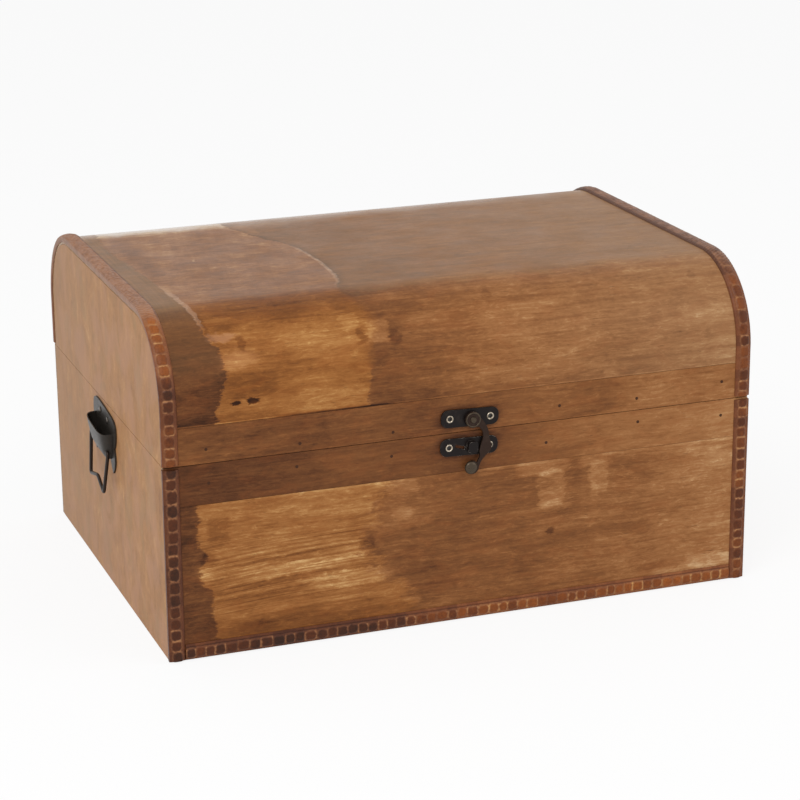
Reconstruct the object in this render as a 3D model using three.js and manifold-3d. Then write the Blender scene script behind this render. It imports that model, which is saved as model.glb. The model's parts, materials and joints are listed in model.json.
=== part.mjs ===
// A wooden trunk: a nailed box with a round-shouldered lid, leather edging, a swing-hook latch,
// a bail handle on each end and two butt hinges behind.
// Sizes are millimetres. X runs along the front from left to right, Y towards the back and Z up.
// The origin is the middle of the underside.
import * as THREE from 'three';
import { mergeVertices } from 'three/addons/utils/BufferGeometryUtils.js';
import Module from 'manifold-3d';

const wasm = await Module();
wasm.setup();

// The box
const width = 350;
const depth = 258;
const baseHeight = 112;
const lidHeight = 78;
const shoulderRadius = 48;
const endThickness = 9;
const skinThickness = 4;
const bottomThickness = 5;
const baseRailHeight = 23;
const lidRailHeight = 21;
const battenDepth = 10;
const battenHeight = 20;
const seamGap = 0.3;
const glueGap = 0.1;
const shoulderSteps = 16;

// The leather edging
const trimWidth = 8.6;
const trimWrap = 3;
const trimEdge = 0.6;
const lidTrimThickness = 1.9;
const baseTrimThickness = 1.3;
const bottomTrimHeight = 9.3;
const trimSetback = 1;
const trimButtGap = 0.3;
const floorClearance = 0.4;
const domeSteps = 6;

// Screws
const screwHeadRadius = 1.9;
const screwHeadHeight = 0.7;
const screwRadius = 0.8;
const screwLength = 8;
const screwPointLength = 2;
const screwHoleClearance = 0.2;
const screwSides = 12;

// The swing-hook latch on the front
const latchX = 1;
const latchTilt = THREE.MathUtils.degToRad(-1.7);
const latchPlateWidth = 34.4;
const latchPlateHeight = 10.2;
const latchPlateCorner = 4.2;
const latchPlateThickness = 1;
const latchPlateSeamDistance = 8.4;
const latchScrewSpacing = 24.2;
const latchPivotX = 1.2;
const latchPivotRise = 7.5;
const latchBossRadius = 4.4;
const latchBossHeight = 0.7;
const hookThickness = 1.2;
const hookGap = 0.3;
const hookHeadRadius = 4.6;
const hookKnobRadius = 3.8;
const hookKnobX = -0.7;
const hookKnobDrop = 27.8;
const hookKnobThickness = 1.6;
const rivetRadius = 1.2;
const rivetHeadRadius = 1.9;
const rivetHeadHeight = 0.9;
const catchX = 1.4;
const catchWidth = 5.6;
const catchHeight = 6.4;
const catchCorner = 1.6;
const catchStandOut = 4.2;
const catchSlotLength = 6;
const catchSlotHeight = 1.8;
const catchSlotCorner = 0.5;
const catchSlotDistance = 6.9;
const catchSlotTilt = THREE.MathUtils.degToRad(-16);

// The bail handles on the ends
const handleDrop = 23.5;
const leftHandleTilt = THREE.MathUtils.degToRad(5);
const rightHandleTilt = 0;
const handlePlateThickness = 1;
const handlePlateTop = 21;
const handlePlateHalfWidth = 25.5;
const handleLobeDrop = 12.8;
const handleNotchDrop = 1;
const handleScrewSpacing = 17;
const handleScrewRise = 16;
const hoodHalfWidth = 19.4;
const hoodDepth = 8;
const hoodFootHalfWidth = 16.4;
const hoodFootDepth = 3.6;
const hoodRim = 11;
const hoodFoot = -5;
const hoodWall = 0.9;
const hoodFloor = 1.2;
const hoodSquareness = 4;
const hoodSteps = 18;
const hoodLevels = 5;
const wireRadius = 0.8;
const wireClearance = 0.3;
const wireSides = 8;
const wireSteps = 72;
const bailStandOff = 3;
const bailTopHalfWidth = 20;
const bailFootHalfWidth = 15.6;
const bailDrop = 26.5;
const bailPeak = 5;
const bailEndLength = 6;
const bailBendRadius = 2.2;
const bailLean = THREE.MathUtils.degToRad(4);

// The butt hinges behind
const hingeSpacing = 200;
const hingeWidth = 26;
const hingeLeafHeight = 12.4;
const hingeLeafThickness = 1;
const knuckleRadius = 2.2;
const knuckleGap = 0.3;
const middleKnuckle = 8.4;
const hingePinRadius = 1;
const hingePinHeadRadius = 1.7;
const hingePinHeadLength = 0.6;
const hingeRunningGap = 0.3;
const hingeScrewSpacing = 17;
const hingeScrewDistance = 8.2;
const roundSides = 20;

// Finishes
const frontWood = { color: 0x91602f, roughness: 0.5, metalness: 0 };
const endWood = { color: 0xb08c6e, roughness: 0.6, metalness: 0 };
const innerWood = { color: 0xb89468, roughness: 0.75, metalness: 0 };
const leather = { color: 0x6b3018, roughness: 0.45, metalness: 0 };
const blackIron = { color: 0x1c1a1a, roughness: 0.42, metalness: 0.8 };
const bronze = { color: 0x4a3f30, roughness: 0.4, metalness: 0.85 };
const steel = { color: 0x8c8478, roughness: 0.38, metalness: 0.9 };

// Places worked out from the sizes above
const halfWidth = width / 2;
const halfDepth = depth / 2;
const lidBottom = baseHeight + seamGap;
const lidTop = baseHeight + lidHeight;
const innerHalfWidth = halfWidth - endThickness;
const innerHalfDepth = halfDepth - skinThickness;
const hookBack = glueGap + latchPlateThickness + latchBossHeight + hookGap;
const hookFront = hookBack + hookThickness;
const hingeAxisOut = knuckleRadius + knuckleGap;
const hingeZ = baseHeight + seamGap / 2;
const handleZ = baseHeight - handleDrop;
const screwHoleRadius = screwRadius + screwHoleClearance;

// Closed geometry to a solid, and back
function solidOf(geometry) {
  const bare = geometry.index ? geometry.toNonIndexed() : geometry.clone();
  bare.deleteAttribute('normal');
  bare.deleteAttribute('uv');
  const merged = mergeVertices(bare, 1e-4);
  return new wasm.Manifold(
    new wasm.Mesh({
      numProp: 3,
      vertProperties: merged.getAttribute('position').array,
      triVerts: new Uint32Array(merged.index.array),
    }),
  );
}

function geometryOf(solid) {
  const mesh = solid.getMesh();
  const geometry = new THREE.BufferGeometry();
  geometry.setAttribute('position', new THREE.BufferAttribute(mesh.vertProperties, 3));
  geometry.setIndex(new THREE.BufferAttribute(mesh.triVerts, 1));
  return geometry;
}

function joined(geometries) {
  return geometryOf(geometries.map(solidOf).reduce((whole, solid) => whole.add(solid)));
}

function without(geometry, cutters) {
  return geometryOf(cutters.map(solidOf).reduce((rest, cut) => rest.subtract(cut), solidOf(geometry)));
}

// Basic forms
function block(lowX, highX, lowY, highY, lowZ, highZ) {
  const box = new THREE.BoxGeometry(highX - lowX, highY - lowY, highZ - lowZ);
  return box.translate((lowX + highX) / 2, (lowY + highY) / 2, (lowZ + highZ) / 2);
}

function slab(shape, lowZ, highZ, curveSegments = 8) {
  const settings = { depth: highZ - lowZ, bevelEnabled: false, curveSegments };
  return new THREE.ExtrudeGeometry(shape, settings).translate(0, 0, lowZ);
}

// A round bar along Z, and the same bar along X
function barAlongZ(radius, x, y, lowZ, highZ, sides = roundSides) {
  const bar = new THREE.CylinderGeometry(radius, radius, highZ - lowZ, sides);
  return bar.rotateX(Math.PI / 2).translate(x, y, (lowZ + highZ) / 2);
}

function barAlongX(radius, y, z, lowX, highX, sides = roundSides) {
  const bar = new THREE.CylinderGeometry(radius, radius, highX - lowX, sides);
  return bar.rotateZ(Math.PI / 2).translate((lowX + highX) / 2, y, z);
}

// A shape drawn in the Y-Z plane, carried along X
function alongX(shape, lowX, highX) {
  const turn = new THREE.Matrix4().makeBasis(
    new THREE.Vector3(0, 1, 0),
    new THREE.Vector3(0, 0, 1),
    new THREE.Vector3(1, 0, 0),
  );
  return slab(shape, lowX, highX).applyMatrix4(turn);
}

function roundedRectangle(centreX, centreY, sizeX, sizeY, corner) {
  const shape = new THREE.Shape();
  const right = sizeX / 2 - corner;
  const up = sizeY / 2 - corner;
  shape.absarc(centreX + right, centreY - up, corner, -Math.PI / 2, 0);
  shape.absarc(centreX + right, centreY + up, corner, 0, Math.PI / 2);
  shape.absarc(centreX - right, centreY + up, corner, Math.PI / 2, Math.PI);
  shape.absarc(centreX - right, centreY - up, corner, Math.PI, Math.PI * 1.5);
  return shape;
}

// Equal rings of points joined into one closed surface; section gives the faces of the two ends
function loft(rings, section) {
  const count = section.length;
  const last = (rings.length - 1) * count;
  const faces = [];
  for (let r = 0; r < rings.length - 1; r++)
    for (let i = 0; i < count; i++) {
      const a = r * count + i;
      const b = r * count + ((i + 1) % count);
      faces.push([a, b, b + count], [a, b + count, a + count]);
    }
  const clockwise = THREE.ShapeUtils.isClockWise(section);
  for (const corners of THREE.ShapeUtils.triangulateShape(section, [])) {
    const [a, b, c] = clockwise ? corners.reverse() : corners;
    faces.push([c, b, a], [last + a, last + b, last + c]);
  }
  const points = rings.flat();
  let volume = 0;
  for (const [a, b, c] of faces) volume += points[a].dot(points[b].clone().cross(points[c]));
  const order = volume < 0 ? ([a, b, c]) => [a, c, b] : (face) => face;
  const geometry = new THREE.BufferGeometry().setFromPoints(points);
  return geometry.setIndex(faces.map(order).flat());
}

function material(finish) {
  return new THREE.MeshStandardMaterial(finish);
}

function addPiece(group, name, geometry, finish) {
  const mesh = new THREE.Mesh(geometry, material(finish));
  mesh.name = name;
  group.add(mesh);
}

// Outline of the lid in the Y-Z plane, from its front lower edge over the top to the back one
function lidOutline(inset, bottom) {
  const arcY = halfDepth - shoulderRadius;
  const arcZ = lidTop - shoulderRadius;
  const radius = shoulderRadius - inset;
  const outline = [{ y: inset - halfDepth, z: bottom, outY: -1, outZ: 0 }];
  for (const side of [-1, 1])
    for (let i = 0; i <= shoulderSteps; i++) {
      const share = side < 0 ? i : shoulderSteps - i;
      const outY = side * Math.cos((share / shoulderSteps) * (Math.PI / 2));
      const outZ = Math.sin((share / shoulderSteps) * (Math.PI / 2));
      outline.push({ y: side * arcY + radius * outY, z: arcZ + radius * outZ, outY, outZ });
    }
  outline.push({ y: halfDepth - inset, z: bottom, outY: 1, outZ: 0 });
  return outline;
}

function outlineShape(points) {
  return new THREE.Shape(points.map((point) => new THREE.Vector2(point.y, point.z)));
}

// Turns the latch's own axes to the front of the box: x to the right, y up from the seam, z outwards
function latchFrame() {
  return new THREE.Matrix4()
    .makeTranslation(latchX, -halfDepth, baseHeight)
    .multiply(new THREE.Matrix4().makeRotationX(Math.PI / 2))
    .multiply(new THREE.Matrix4().makeRotationZ(latchTilt));
}

// Screw holes in the wood behind the latch and behind the hinges, as cutters
function frontScrewHoles() {
  const holes = [];
  for (const x of [-latchScrewSpacing / 2, latchScrewSpacing / 2])
    for (const y of [-latchPlateSeamDistance, latchPlateSeamDistance])
      holes.push(barAlongZ(screwHoleRadius, x, y, -screwLength - screwHoleClearance, 1, screwSides));
  return holes.map((hole) => hole.applyMatrix4(latchFrame()));
}

function backScrewHoles() {
  const holes = [];
  for (const hingeX of [-hingeSpacing / 2, hingeSpacing / 2])
    for (const x of [hingeX - hingeScrewSpacing / 2, hingeX + hingeScrewSpacing / 2])
      for (const z of [hingeZ - hingeScrewDistance, hingeZ + hingeScrewDistance]) holes.push([x, z]);
  return holes.map(([x, z]) => woodHole(x, z, halfDepth - screwLength, halfDepth));
}

function woodHole(x, z, lowY, highY) {
  const length = highY - lowY + 2 * screwHoleClearance;
  const bar = new THREE.CylinderGeometry(screwHoleRadius, screwHoleRadius, length, screwSides);
  return bar.translate(x, (lowY + highY) / 2, z);
}

// The open box under the lid
function addBase(group) {
  const boardEnd = innerHalfDepth - glueGap;
  for (const [name, side, tilt] of [['left', -1, leftHandleTilt], ['right', 1, rightHandleTilt]]) {
    const face = side * halfWidth;
    const inner = side * innerHalfWidth;
    const board = block(
      Math.min(face, inner), Math.max(face, inner), -boardEnd, boardEnd, 0, baseHeight);
    addPiece(group, `base_end_${name}`, without(board, endScrewHoles(side, tilt)), endWood);
  }
  const insideX = innerHalfWidth - glueGap;
  addPiece(group, 'base_bottom',
    block(-insideX, insideX, -boardEnd, boardEnd, 0, bottomThickness), innerWood);
  const railBottom = baseHeight - baseRailHeight;
  for (const [name, side, holes] of [['front', -1, frontScrewHoles()], ['back', 1, backScrewHoles()]]) {
    const outY = side * halfDepth;
    const inY = side * innerHalfDepth;
    const [lowY, highY] = [Math.min(outY, inY), Math.max(outY, inY)];
    addPiece(group, `base_${name}_panel`,
      block(-halfWidth, halfWidth, lowY, highY, 0, railBottom - glueGap), frontWood);
    addPiece(group, `base_${name}_rail`,
      without(block(-halfWidth, halfWidth, lowY, highY, railBottom, baseHeight), holes), frontWood);
    addPiece(group, `base_${name}_batten`,
      without(batten(side, baseHeight - battenHeight, baseHeight), holes), innerWood);
  }
}

// A solid strip behind each rail, for the nails and screws to hold in
function batten(side, lowZ, highZ) {
  const near = side * (innerHalfDepth - glueGap);
  const far = side * (innerHalfDepth - battenDepth);
  const insideX = innerHalfWidth - glueGap;
  return block(-insideX, insideX, Math.min(near, far), Math.max(near, far), lowZ, highZ);
}

// The lid: two shaped ends, rails, battens and a bent sheet over the top
function addLid(group) {
  const endShape = outlineShape(lidOutline(skinThickness + glueGap, lidBottom));
  addPiece(group, 'lid_end_left', alongX(endShape, -halfWidth, -innerHalfWidth), endWood);
  addPiece(group, 'lid_end_right', alongX(endShape, innerHalfWidth, halfWidth), endWood);
  const railTop = lidBottom + lidRailHeight;
  const outer = lidOutline(0, railTop + glueGap);
  const inner = lidOutline(skinThickness, railTop + glueGap).reverse();
  const sheet = alongX(outlineShape([...outer, ...inner]), -halfWidth, halfWidth);
  addPiece(group, 'lid_sheet', sheet, frontWood);
  for (const [name, side, holes] of [['front', -1, frontScrewHoles()], ['back', 1, backScrewHoles()]]) {
    const outY = side * halfDepth;
    const inY = side * innerHalfDepth;
    const rail = block(
      -halfWidth, halfWidth, Math.min(outY, inY), Math.max(outY, inY), lidBottom, railTop);
    addPiece(group, `lid_${name}_rail`, without(rail, holes), frontWood);
    addPiece(group, `lid_${name}_batten`,
      without(batten(side, lidBottom, lidBottom + battenHeight), holes), innerWood);
  }
}

// Section of a leather strip folded over an edge: x is the distance in from the end's face and
// y the height above the wood, with a domed top and a thin leg down the end
function trimSection(thickness) {
  const outer = -glueGap - trimEdge;
  const section = [new THREE.Vector2(-glueGap, -trimWrap), new THREE.Vector2(outer, -trimWrap)];
  for (let i = 0; i <= domeSteps; i++) {
    const share = i / domeSteps;
    const rise = Math.sin(Math.PI * share) ** 0.7 * (thickness - trimEdge);
    const x = outer + share * (trimWidth - outer);
    section.push(new THREE.Vector2(x, glueGap + trimEdge + rise));
  }
  section.push(new THREE.Vector2(trimWidth, glueGap), new THREE.Vector2(-glueGap, glueGap));
  return section;
}

function trimAlong(outline, side, thickness) {
  const section = trimSection(thickness);
  const rings = outline.map((point) =>
    section.map((corner) => new THREE.Vector3(
      side * (halfWidth - corner.x),
      point.y + corner.y * point.outY,
      point.z + corner.y * point.outZ,
    )),
  );
  return loft(rings, section);
}

function addTrims(baseGroup, lidGroup) {
  const lidEdge = lidOutline(0, lidBottom + trimSetback);
  const cornerEdge = [floorClearance, baseHeight - trimSetback].map((z) => (
    { y: -halfDepth, z, outY: -1, outZ: 0 }
  ));
  for (const [name, side] of [['left', -1], ['right', 1]]) {
    addPiece(lidGroup, `lid_trim_${name}`, trimAlong(lidEdge, side, lidTrimThickness), leather);
    addPiece(baseGroup, `corner_trim_${name}`,
      trimAlong(cornerEdge, side, baseTrimThickness), leather);
  }
  const strip = new THREE.Shape();
  strip.moveTo(-halfDepth - glueGap, floorClearance);
  strip.lineTo(-halfDepth - glueGap, bottomTrimHeight);
  strip.lineTo(-halfDepth - glueGap - trimEdge, bottomTrimHeight);
  for (let i = 1; i < domeSteps; i++) {
    const share = i / domeSteps;
    const rise = Math.sin(Math.PI * share) ** 0.7 * (baseTrimThickness - trimEdge);
    const z = bottomTrimHeight + share * (floorClearance - bottomTrimHeight);
    strip.lineTo(-halfDepth - glueGap - trimEdge - rise, z);
  }
  strip.lineTo(-halfDepth - glueGap - trimEdge, floorClearance);
  const reach = halfWidth - trimWidth - trimButtGap;
  addPiece(baseGroup, 'bottom_trim', alongX(strip, -reach, reach), leather);
}

// A pan-head screw along Z with its head's seat at z = 0 and its shank going down
function screwGeometry(x, y, seat) {
  const profile = [
    new THREE.Vector2(0, seat - screwLength),
    new THREE.Vector2(screwRadius, seat - screwLength + screwPointLength),
    new THREE.Vector2(screwRadius, seat),
    new THREE.Vector2(screwHeadRadius, seat),
    new THREE.Vector2(screwHeadRadius, seat + screwHeadHeight * 0.45),
    new THREE.Vector2(screwHeadRadius * 0.6, seat + screwHeadHeight),
    new THREE.Vector2(0, seat + screwHeadHeight),
  ];
  return new THREE.LatheGeometry(profile, screwSides).rotateX(Math.PI / 2).translate(x, y, 0);
}

function latchPlateBlank(centreY) {
  const outline = roundedRectangle(
    0, centreY, latchPlateWidth, latchPlateHeight, latchPlateCorner);
  return slab(outline, glueGap, glueGap + latchPlateThickness);
}

function latchScrewBores(centreY) {
  return [-1, 1].map((side) => barAlongZ(
    screwHoleRadius, side * latchScrewSpacing / 2, centreY, 0, 2 * latchPlateThickness, screwSides));
}

function upperLatchPlate() {
  const bossTop = glueGap + latchPlateThickness + latchBossHeight;
  const boss = barAlongZ(latchBossRadius, latchPivotX, latchPivotRise, glueGap, bossTop);
  const bore = barAlongZ(rivetRadius + glueGap, latchPivotX, latchPivotRise, 0, 2 * bossTop);
  const blank = joined([latchPlateBlank(latchPlateSeamDistance), boss]);
  return without(blank, [bore, ...latchScrewBores(latchPlateSeamDistance)]);
}

// The lower plate with the upright catch that the hook swings round, and the slot it was bent from
function lowerLatchPlate() {
  const catchOutline = roundedRectangle(
    catchX, -latchPlateSeamDistance, catchWidth, catchHeight, catchCorner);
  const post = slab(catchOutline, glueGap, glueGap + catchStandOut);
  const slotOutline = roundedRectangle(0, 0, catchSlotLength, catchSlotHeight, catchSlotCorner);
  const slot = slab(slotOutline, 0, 2 * latchPlateThickness)
    .rotateZ(catchSlotTilt)
    .translate(catchX - catchSlotDistance, -latchPlateSeamDistance, 0);
  const blank = joined([latchPlateBlank(-latchPlateSeamDistance), post]);
  return without(blank, [slot, ...latchScrewBores(-latchPlateSeamDistance)]);
}

// The hook, drawn from its pivot: an arm that curves out to the right and back under the catch.
// It hangs straight down, whatever the tilt of the plates
function hookOutline() {
  const vectors = (pairs) => pairs.map(([x, y]) => new THREE.Vector2(x, y));
  const shape = new THREE.Shape();
  shape.moveTo(0, hookHeadRadius * 0.9);
  shape.splineThru(vectors([[4.6, 0.7], [8.5, -5.4], [9.6, -11], [10.8, -15.8], [10.2, -19],
    [7.4, -21.6], [5, -24.2], [3.2, -28]]));
  shape.lineTo(1, -27);
  shape.splineThru(vectors([[2.6, -24.6], [4, -21.4], [3.7, -18.6], [4.6, -15.2], [5.9, -11],
    [5.6, -7.4], [3.4, -4.4]]));
  shape.lineTo(0, -hookHeadRadius * 0.9);
  return shape;
}

function latchHook() {
  const head = barAlongZ(hookHeadRadius, 0, 0, hookBack, hookFront, 28);
  const arm = slab(hookOutline(), hookBack, hookFront, 16);
  const knob = barAlongZ(
    hookKnobRadius, hookKnobX, -hookKnobDrop, hookBack, hookBack + hookKnobThickness, 28);
  const bore = barAlongZ(rivetRadius + hingeRunningGap, 0, 0, 0, 2 * hookFront);
  const hook = without(joined([head, arm, knob]), [bore]);
  return hook.rotateZ(-latchTilt).translate(latchPivotX, latchPivotRise, 0);
}

function latchRivet() {
  const shank = barAlongZ(rivetRadius, 0, 0, glueGap, hookFront + hingeRunningGap);
  const headBottom = hookFront + hingeRunningGap;
  const headProfile = [
    new THREE.Vector2(0, headBottom - glueGap),
    new THREE.Vector2(rivetHeadRadius, headBottom),
    new THREE.Vector2(rivetHeadRadius * 0.8, headBottom + rivetHeadHeight * 0.7),
    new THREE.Vector2(0, headBottom + rivetHeadHeight),
  ];
  const head = new THREE.LatheGeometry(headProfile, roundSides).rotateX(Math.PI / 2);
  return joined([shank, head]).translate(latchPivotX, latchPivotRise, 0);
}

function addLatch(baseGroup, lidGroup) {
  const groups = [baseGroup, lidGroup].map((parent) => {
    const group = new THREE.Group();
    group.applyMatrix4(latchFrame());
    parent.add(group);
    return group;
  });
  const [onBase, onLid] = groups;
  addPiece(onLid, 'latch_upper_plate', upperLatchPlate(), blackIron);
  addPiece(onLid, 'latch_hook', latchHook(), bronze);
  addPiece(onLid, 'latch_rivet', latchRivet(), bronze);
  addPiece(onBase, 'latch_lower_plate', lowerLatchPlate(), blackIron);
  const seat = glueGap + latchPlateThickness + glueGap;
  for (const [name, side] of [['left', -1], ['right', 1]]) {
    const x = (side * latchScrewSpacing) / 2;
    addPiece(onLid, `latch_upper_screw_${name}`,
      screwGeometry(x, latchPlateSeamDistance, seat), steel);
    addPiece(onBase, `latch_lower_screw_${name}`,
      screwGeometry(x, -latchPlateSeamDistance, seat), steel);
  }
}

// A handle is drawn as seen from outside: x to the right, y up from the bail's axis, z outwards
function handlePlateOutline() {
  const shape = new THREE.Shape();
  const half = handlePlateHalfWidth;
  const waist = half * 0.86;
  const lobeX = half * 0.78;
  const notchX = half * 0.42;
  shape.moveTo(0, handlePlateTop);
  shape.bezierCurveTo(half * 0.8, handlePlateTop, half, handlePlateTop, half, handlePlateTop * 0.62);
  shape.quadraticCurveTo(half, handlePlateTop * 0.3, waist, handlePlateTop * 0.14);
  shape.quadraticCurveTo(half * 1.08, -handleLobeDrop * 0.35, lobeX, -handleLobeDrop);
  shape.quadraticCurveTo(half * 0.6, -handleLobeDrop * 0.75, notchX, -handleNotchDrop);
  shape.lineTo(-notchX, -handleNotchDrop);
  shape.quadraticCurveTo(-half * 0.6, -handleLobeDrop * 0.75, -lobeX, -handleLobeDrop);
  shape.quadraticCurveTo(-half * 1.08, -handleLobeDrop * 0.35, -waist, handlePlateTop * 0.14);
  shape.quadraticCurveTo(-half, handlePlateTop * 0.3, -half, handlePlateTop * 0.62);
  shape.bezierCurveTo(-half, handlePlateTop, -half * 0.8, handlePlateTop, 0, handlePlateTop);
  return shape;
}

// One level of the hood: half of a squared ellipse standing on the plate
function hoodRing(half, out, y, back) {
  const ring = [];
  for (let i = 0; i <= hoodSteps; i++) {
    const angle = (Math.PI * i) / hoodSteps;
    const x = Math.sign(Math.cos(angle)) * Math.abs(Math.cos(angle)) ** (2 / hoodSquareness) * half;
    const z = back + Math.sin(angle) ** (2 / hoodSquareness) * out;
    ring.push(new THREE.Vector3(x, y, i === 0 || i === hoodSteps ? back : z));
  }
  return ring;
}

function hoodBody(inset, floor, top) {
  const back = glueGap + handlePlateThickness * (inset ? 1 : 0.5);
  const rings = [];
  for (let level = 0; level <= hoodLevels; level++) {
    const y = floor + ((top - floor) * level) / hoodLevels;
    const share = Math.min(1, Math.sqrt(Math.max(0, (y - hoodFoot) / (hoodRim - hoodFoot))));
    const half = hoodFootHalfWidth + (hoodHalfWidth - hoodFootHalfWidth) * share - inset;
    const out = hoodFootDepth + (hoodDepth - hoodFootDepth) * share - inset;
    rings.push(hoodRing(half, out, y, back));
  }
  return loft(rings, rings[0].map((point) => new THREE.Vector2(point.x, point.z)));
}

function handlePlate() {
  const sheet = slab(handlePlateOutline(), glueGap, glueGap + handlePlateThickness, 6);
  const hood = hoodBody(0, hoodFoot, hoodRim);
  const pocket = hoodBody(hoodWall, hoodFoot + hoodFloor, hoodRim + hoodFloor);
  const holeRadius = wireRadius + wireClearance;
  const wireHole = barAlongX(
    holeRadius, 0, bailAxisOut(), -bailTopHalfWidth, bailTopHalfWidth, screwSides);
  const screwBores = [-1, 1].map((side) => barAlongZ(
    screwHoleRadius, (side * handleScrewSpacing) / 2, handleScrewRise, 0,
    2 * handlePlateThickness, screwSides));
  return without(joined([sheet, hood]), [pocket, wireHole, ...screwBores]);
}

function bailAxisOut() {
  return glueGap + handlePlateThickness + bailStandOff;
}

// A path through the corners, each one rounded
function roundedPath(corners, radius) {
  const path = new THREE.CurvePath();
  let from = corners[0];
  for (let i = 1; i < corners.length - 1; i++) {
    const corner = corners[i];
    const before = corner.clone().sub(corners[i - 1]).setLength(radius);
    const after = corners[i + 1].clone().sub(corner).setLength(radius);
    const start = corner.clone().sub(before);
    const end = corner.clone().add(after);
    path.add(new THREE.LineCurve3(from, start));
    path.add(new THREE.QuadraticBezierCurve3(start, corner, end));
    from = end;
  }
  path.add(new THREE.LineCurve3(from, corners[corners.length - 1]));
  return path;
}

// The bent wire, leaning out from its axis as it hangs against the hood
function bailWire() {
  const inner = bailTopHalfWidth - bailEndLength;
  const half = [
    [inner, 0],
    [bailTopHalfWidth, 0],
    [bailFootHalfWidth, -bailDrop],
  ];
  const mirrored = half.map(([x, y]) => [-x, y]).reverse();
  const corners = [...half, [0, bailPeak - bailDrop], ...mirrored];
  const path = roundedPath(corners.map(([x, y]) => new THREE.Vector3(x, y, 0)), bailBendRadius);
  const section = new THREE.Shape();
  for (let i = 0; i < wireSides; i++) {
    const angle = (2 * Math.PI * (i + 0.5)) / wireSides;
    const [x, y] = [wireRadius * Math.cos(angle), wireRadius * Math.sin(angle)];
    if (i === 0) section.moveTo(x, y);
    else section.lineTo(x, y);
  }
  const wire = new THREE.ExtrudeGeometry(section, { steps: wireSteps, extrudePath: path });
  return wire.rotateX(-bailLean).translate(0, 0, bailAxisOut());
}

// Turns a handle's own axes to one end of the box: -1 is the left end, 1 the right end
function endFrame(side, tilt) {
  const right = new THREE.Vector3(0, side, 0);
  const up = new THREE.Vector3(0, 0, 1);
  const out = new THREE.Vector3(side, 0, 0);
  const frame = new THREE.Matrix4().makeBasis(right, up, out).setPosition(side * halfWidth, 0, handleZ);
  return frame.multiply(new THREE.Matrix4().makeRotationZ(-tilt));
}

function endScrewHoles(side, tilt) {
  return [-1, 1].map((place) => barAlongZ(
    screwHoleRadius, (place * handleScrewSpacing) / 2, handleScrewRise,
    -screwLength - screwHoleClearance, 1, screwSides).applyMatrix4(endFrame(side, tilt)));
}

function addHandle(parent, name, side, tilt) {
  const group = new THREE.Group();
  group.applyMatrix4(endFrame(side, tilt));
  parent.add(group);
  addPiece(group, `handle_plate_${name}`, handlePlate(), blackIron);
  addPiece(group, `handle_bail_${name}`, bailWire(), blackIron);
  const seat = glueGap + handlePlateThickness + glueGap;
  for (const [end, place] of [['a', -1], ['b', 1]]) {
    const screw = screwGeometry((place * handleScrewSpacing) / 2, handleScrewRise, seat);
    addPiece(group, `handle_screw_${name}_${end}`, screw, steel);
  }
}

// A hinge is drawn as seen from behind: x to the right, y up from the pin, z away from the box
function hingeLeaf(up, knuckles) {
  const near = knuckleRadius + hingeRunningGap;
  const front = glueGap + hingeLeafThickness;
  const halfHinge = hingeWidth / 2;
  const spans = (low, high) => (up > 0 ? [low, high] : [-high, -low]);
  const sheet = block(-halfHinge, halfHinge, ...spans(near, hingeLeafHeight), glueGap, front);
  const parts = [sheet];
  for (const [lowX, highX] of knuckles) {
    parts.push(block(lowX, highX, ...spans(0, near + glueGap), glueGap, front));
    parts.push(barAlongX(knuckleRadius, 0, hingeAxisOut, lowX, highX));
  }
  const pinBore = barAlongX(
    hingePinRadius + hingeRunningGap, 0, hingeAxisOut, -hingeWidth, hingeWidth);
  const screwBores = [-1, 1].map((side) => barAlongZ(
    screwHoleRadius, (side * hingeScrewSpacing) / 2, up * hingeScrewDistance, 0, 2 * front,
    screwSides));
  return without(joined(parts), [pinBore, ...screwBores]);
}

function hingePin() {
  const halfHinge = hingeWidth / 2;
  const endX = halfHinge + hingeRunningGap + hingePinHeadLength;
  return joined([
    barAlongX(hingePinRadius, 0, hingeAxisOut, -endX, endX),
    barAlongX(hingePinHeadRadius, 0, hingeAxisOut, halfHinge + hingeRunningGap, endX),
    barAlongX(hingePinHeadRadius, 0, hingeAxisOut, -endX, -halfHinge - hingeRunningGap),
  ]);
}

function addHinge(baseGroup, lidGroup, name, side) {
  const [onBase, onLid] = [baseGroup, lidGroup].map((parent) => {
    const group = new THREE.Group();
    group.position.set((side * hingeSpacing) / 2, halfDepth, hingeZ);
    group.rotation.set(Math.PI / 2, 0, Math.PI, 'ZYX');
    parent.add(group);
    return group;
  });
  const halfHinge = hingeWidth / 2;
  const middle = middleKnuckle / 2;
  const outer = middle + hingeRunningGap;
  addPiece(onBase, `hinge_base_leaf_${name}`,
    hingeLeaf(-1, [[-halfHinge, -outer], [outer, halfHinge]]), bronze);
  addPiece(onLid, `hinge_lid_leaf_${name}`, hingeLeaf(1, [[-middle, middle]]), bronze);
  addPiece(onBase, `hinge_pin_${name}`, hingePin(), bronze);
  const seat = 2 * glueGap + hingeLeafThickness;
  for (const [end, place] of [['a', -1], ['b', 1]]) {
    const x = (place * hingeScrewSpacing) / 2;
    addPiece(onBase, `hinge_base_screw_${name}_${end}`,
      screwGeometry(x, -hingeScrewDistance, seat), steel);
    addPiece(onLid, `hinge_lid_screw_${name}_${end}`,
      screwGeometry(x, hingeScrewDistance, seat), steel);
  }
}

const trunk = new THREE.Group();
const base = new THREE.Group();
const lid = new THREE.Group();
trunk.add(base, lid);
addBase(base);
addLid(lid);
addTrims(base, lid);
addLatch(base, lid);
addHandle(base, 'left', -1, leftHandleTilt);
addHandle(base, 'right', 1, rightHandleTilt);
addHinge(base, lid, 'left', -1);
addHinge(base, lid, 'right', 1);

export default trunk;
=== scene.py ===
import json
import math
import random

import bmesh
import bpy
from mathutils import Matrix, Vector, noise


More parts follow.
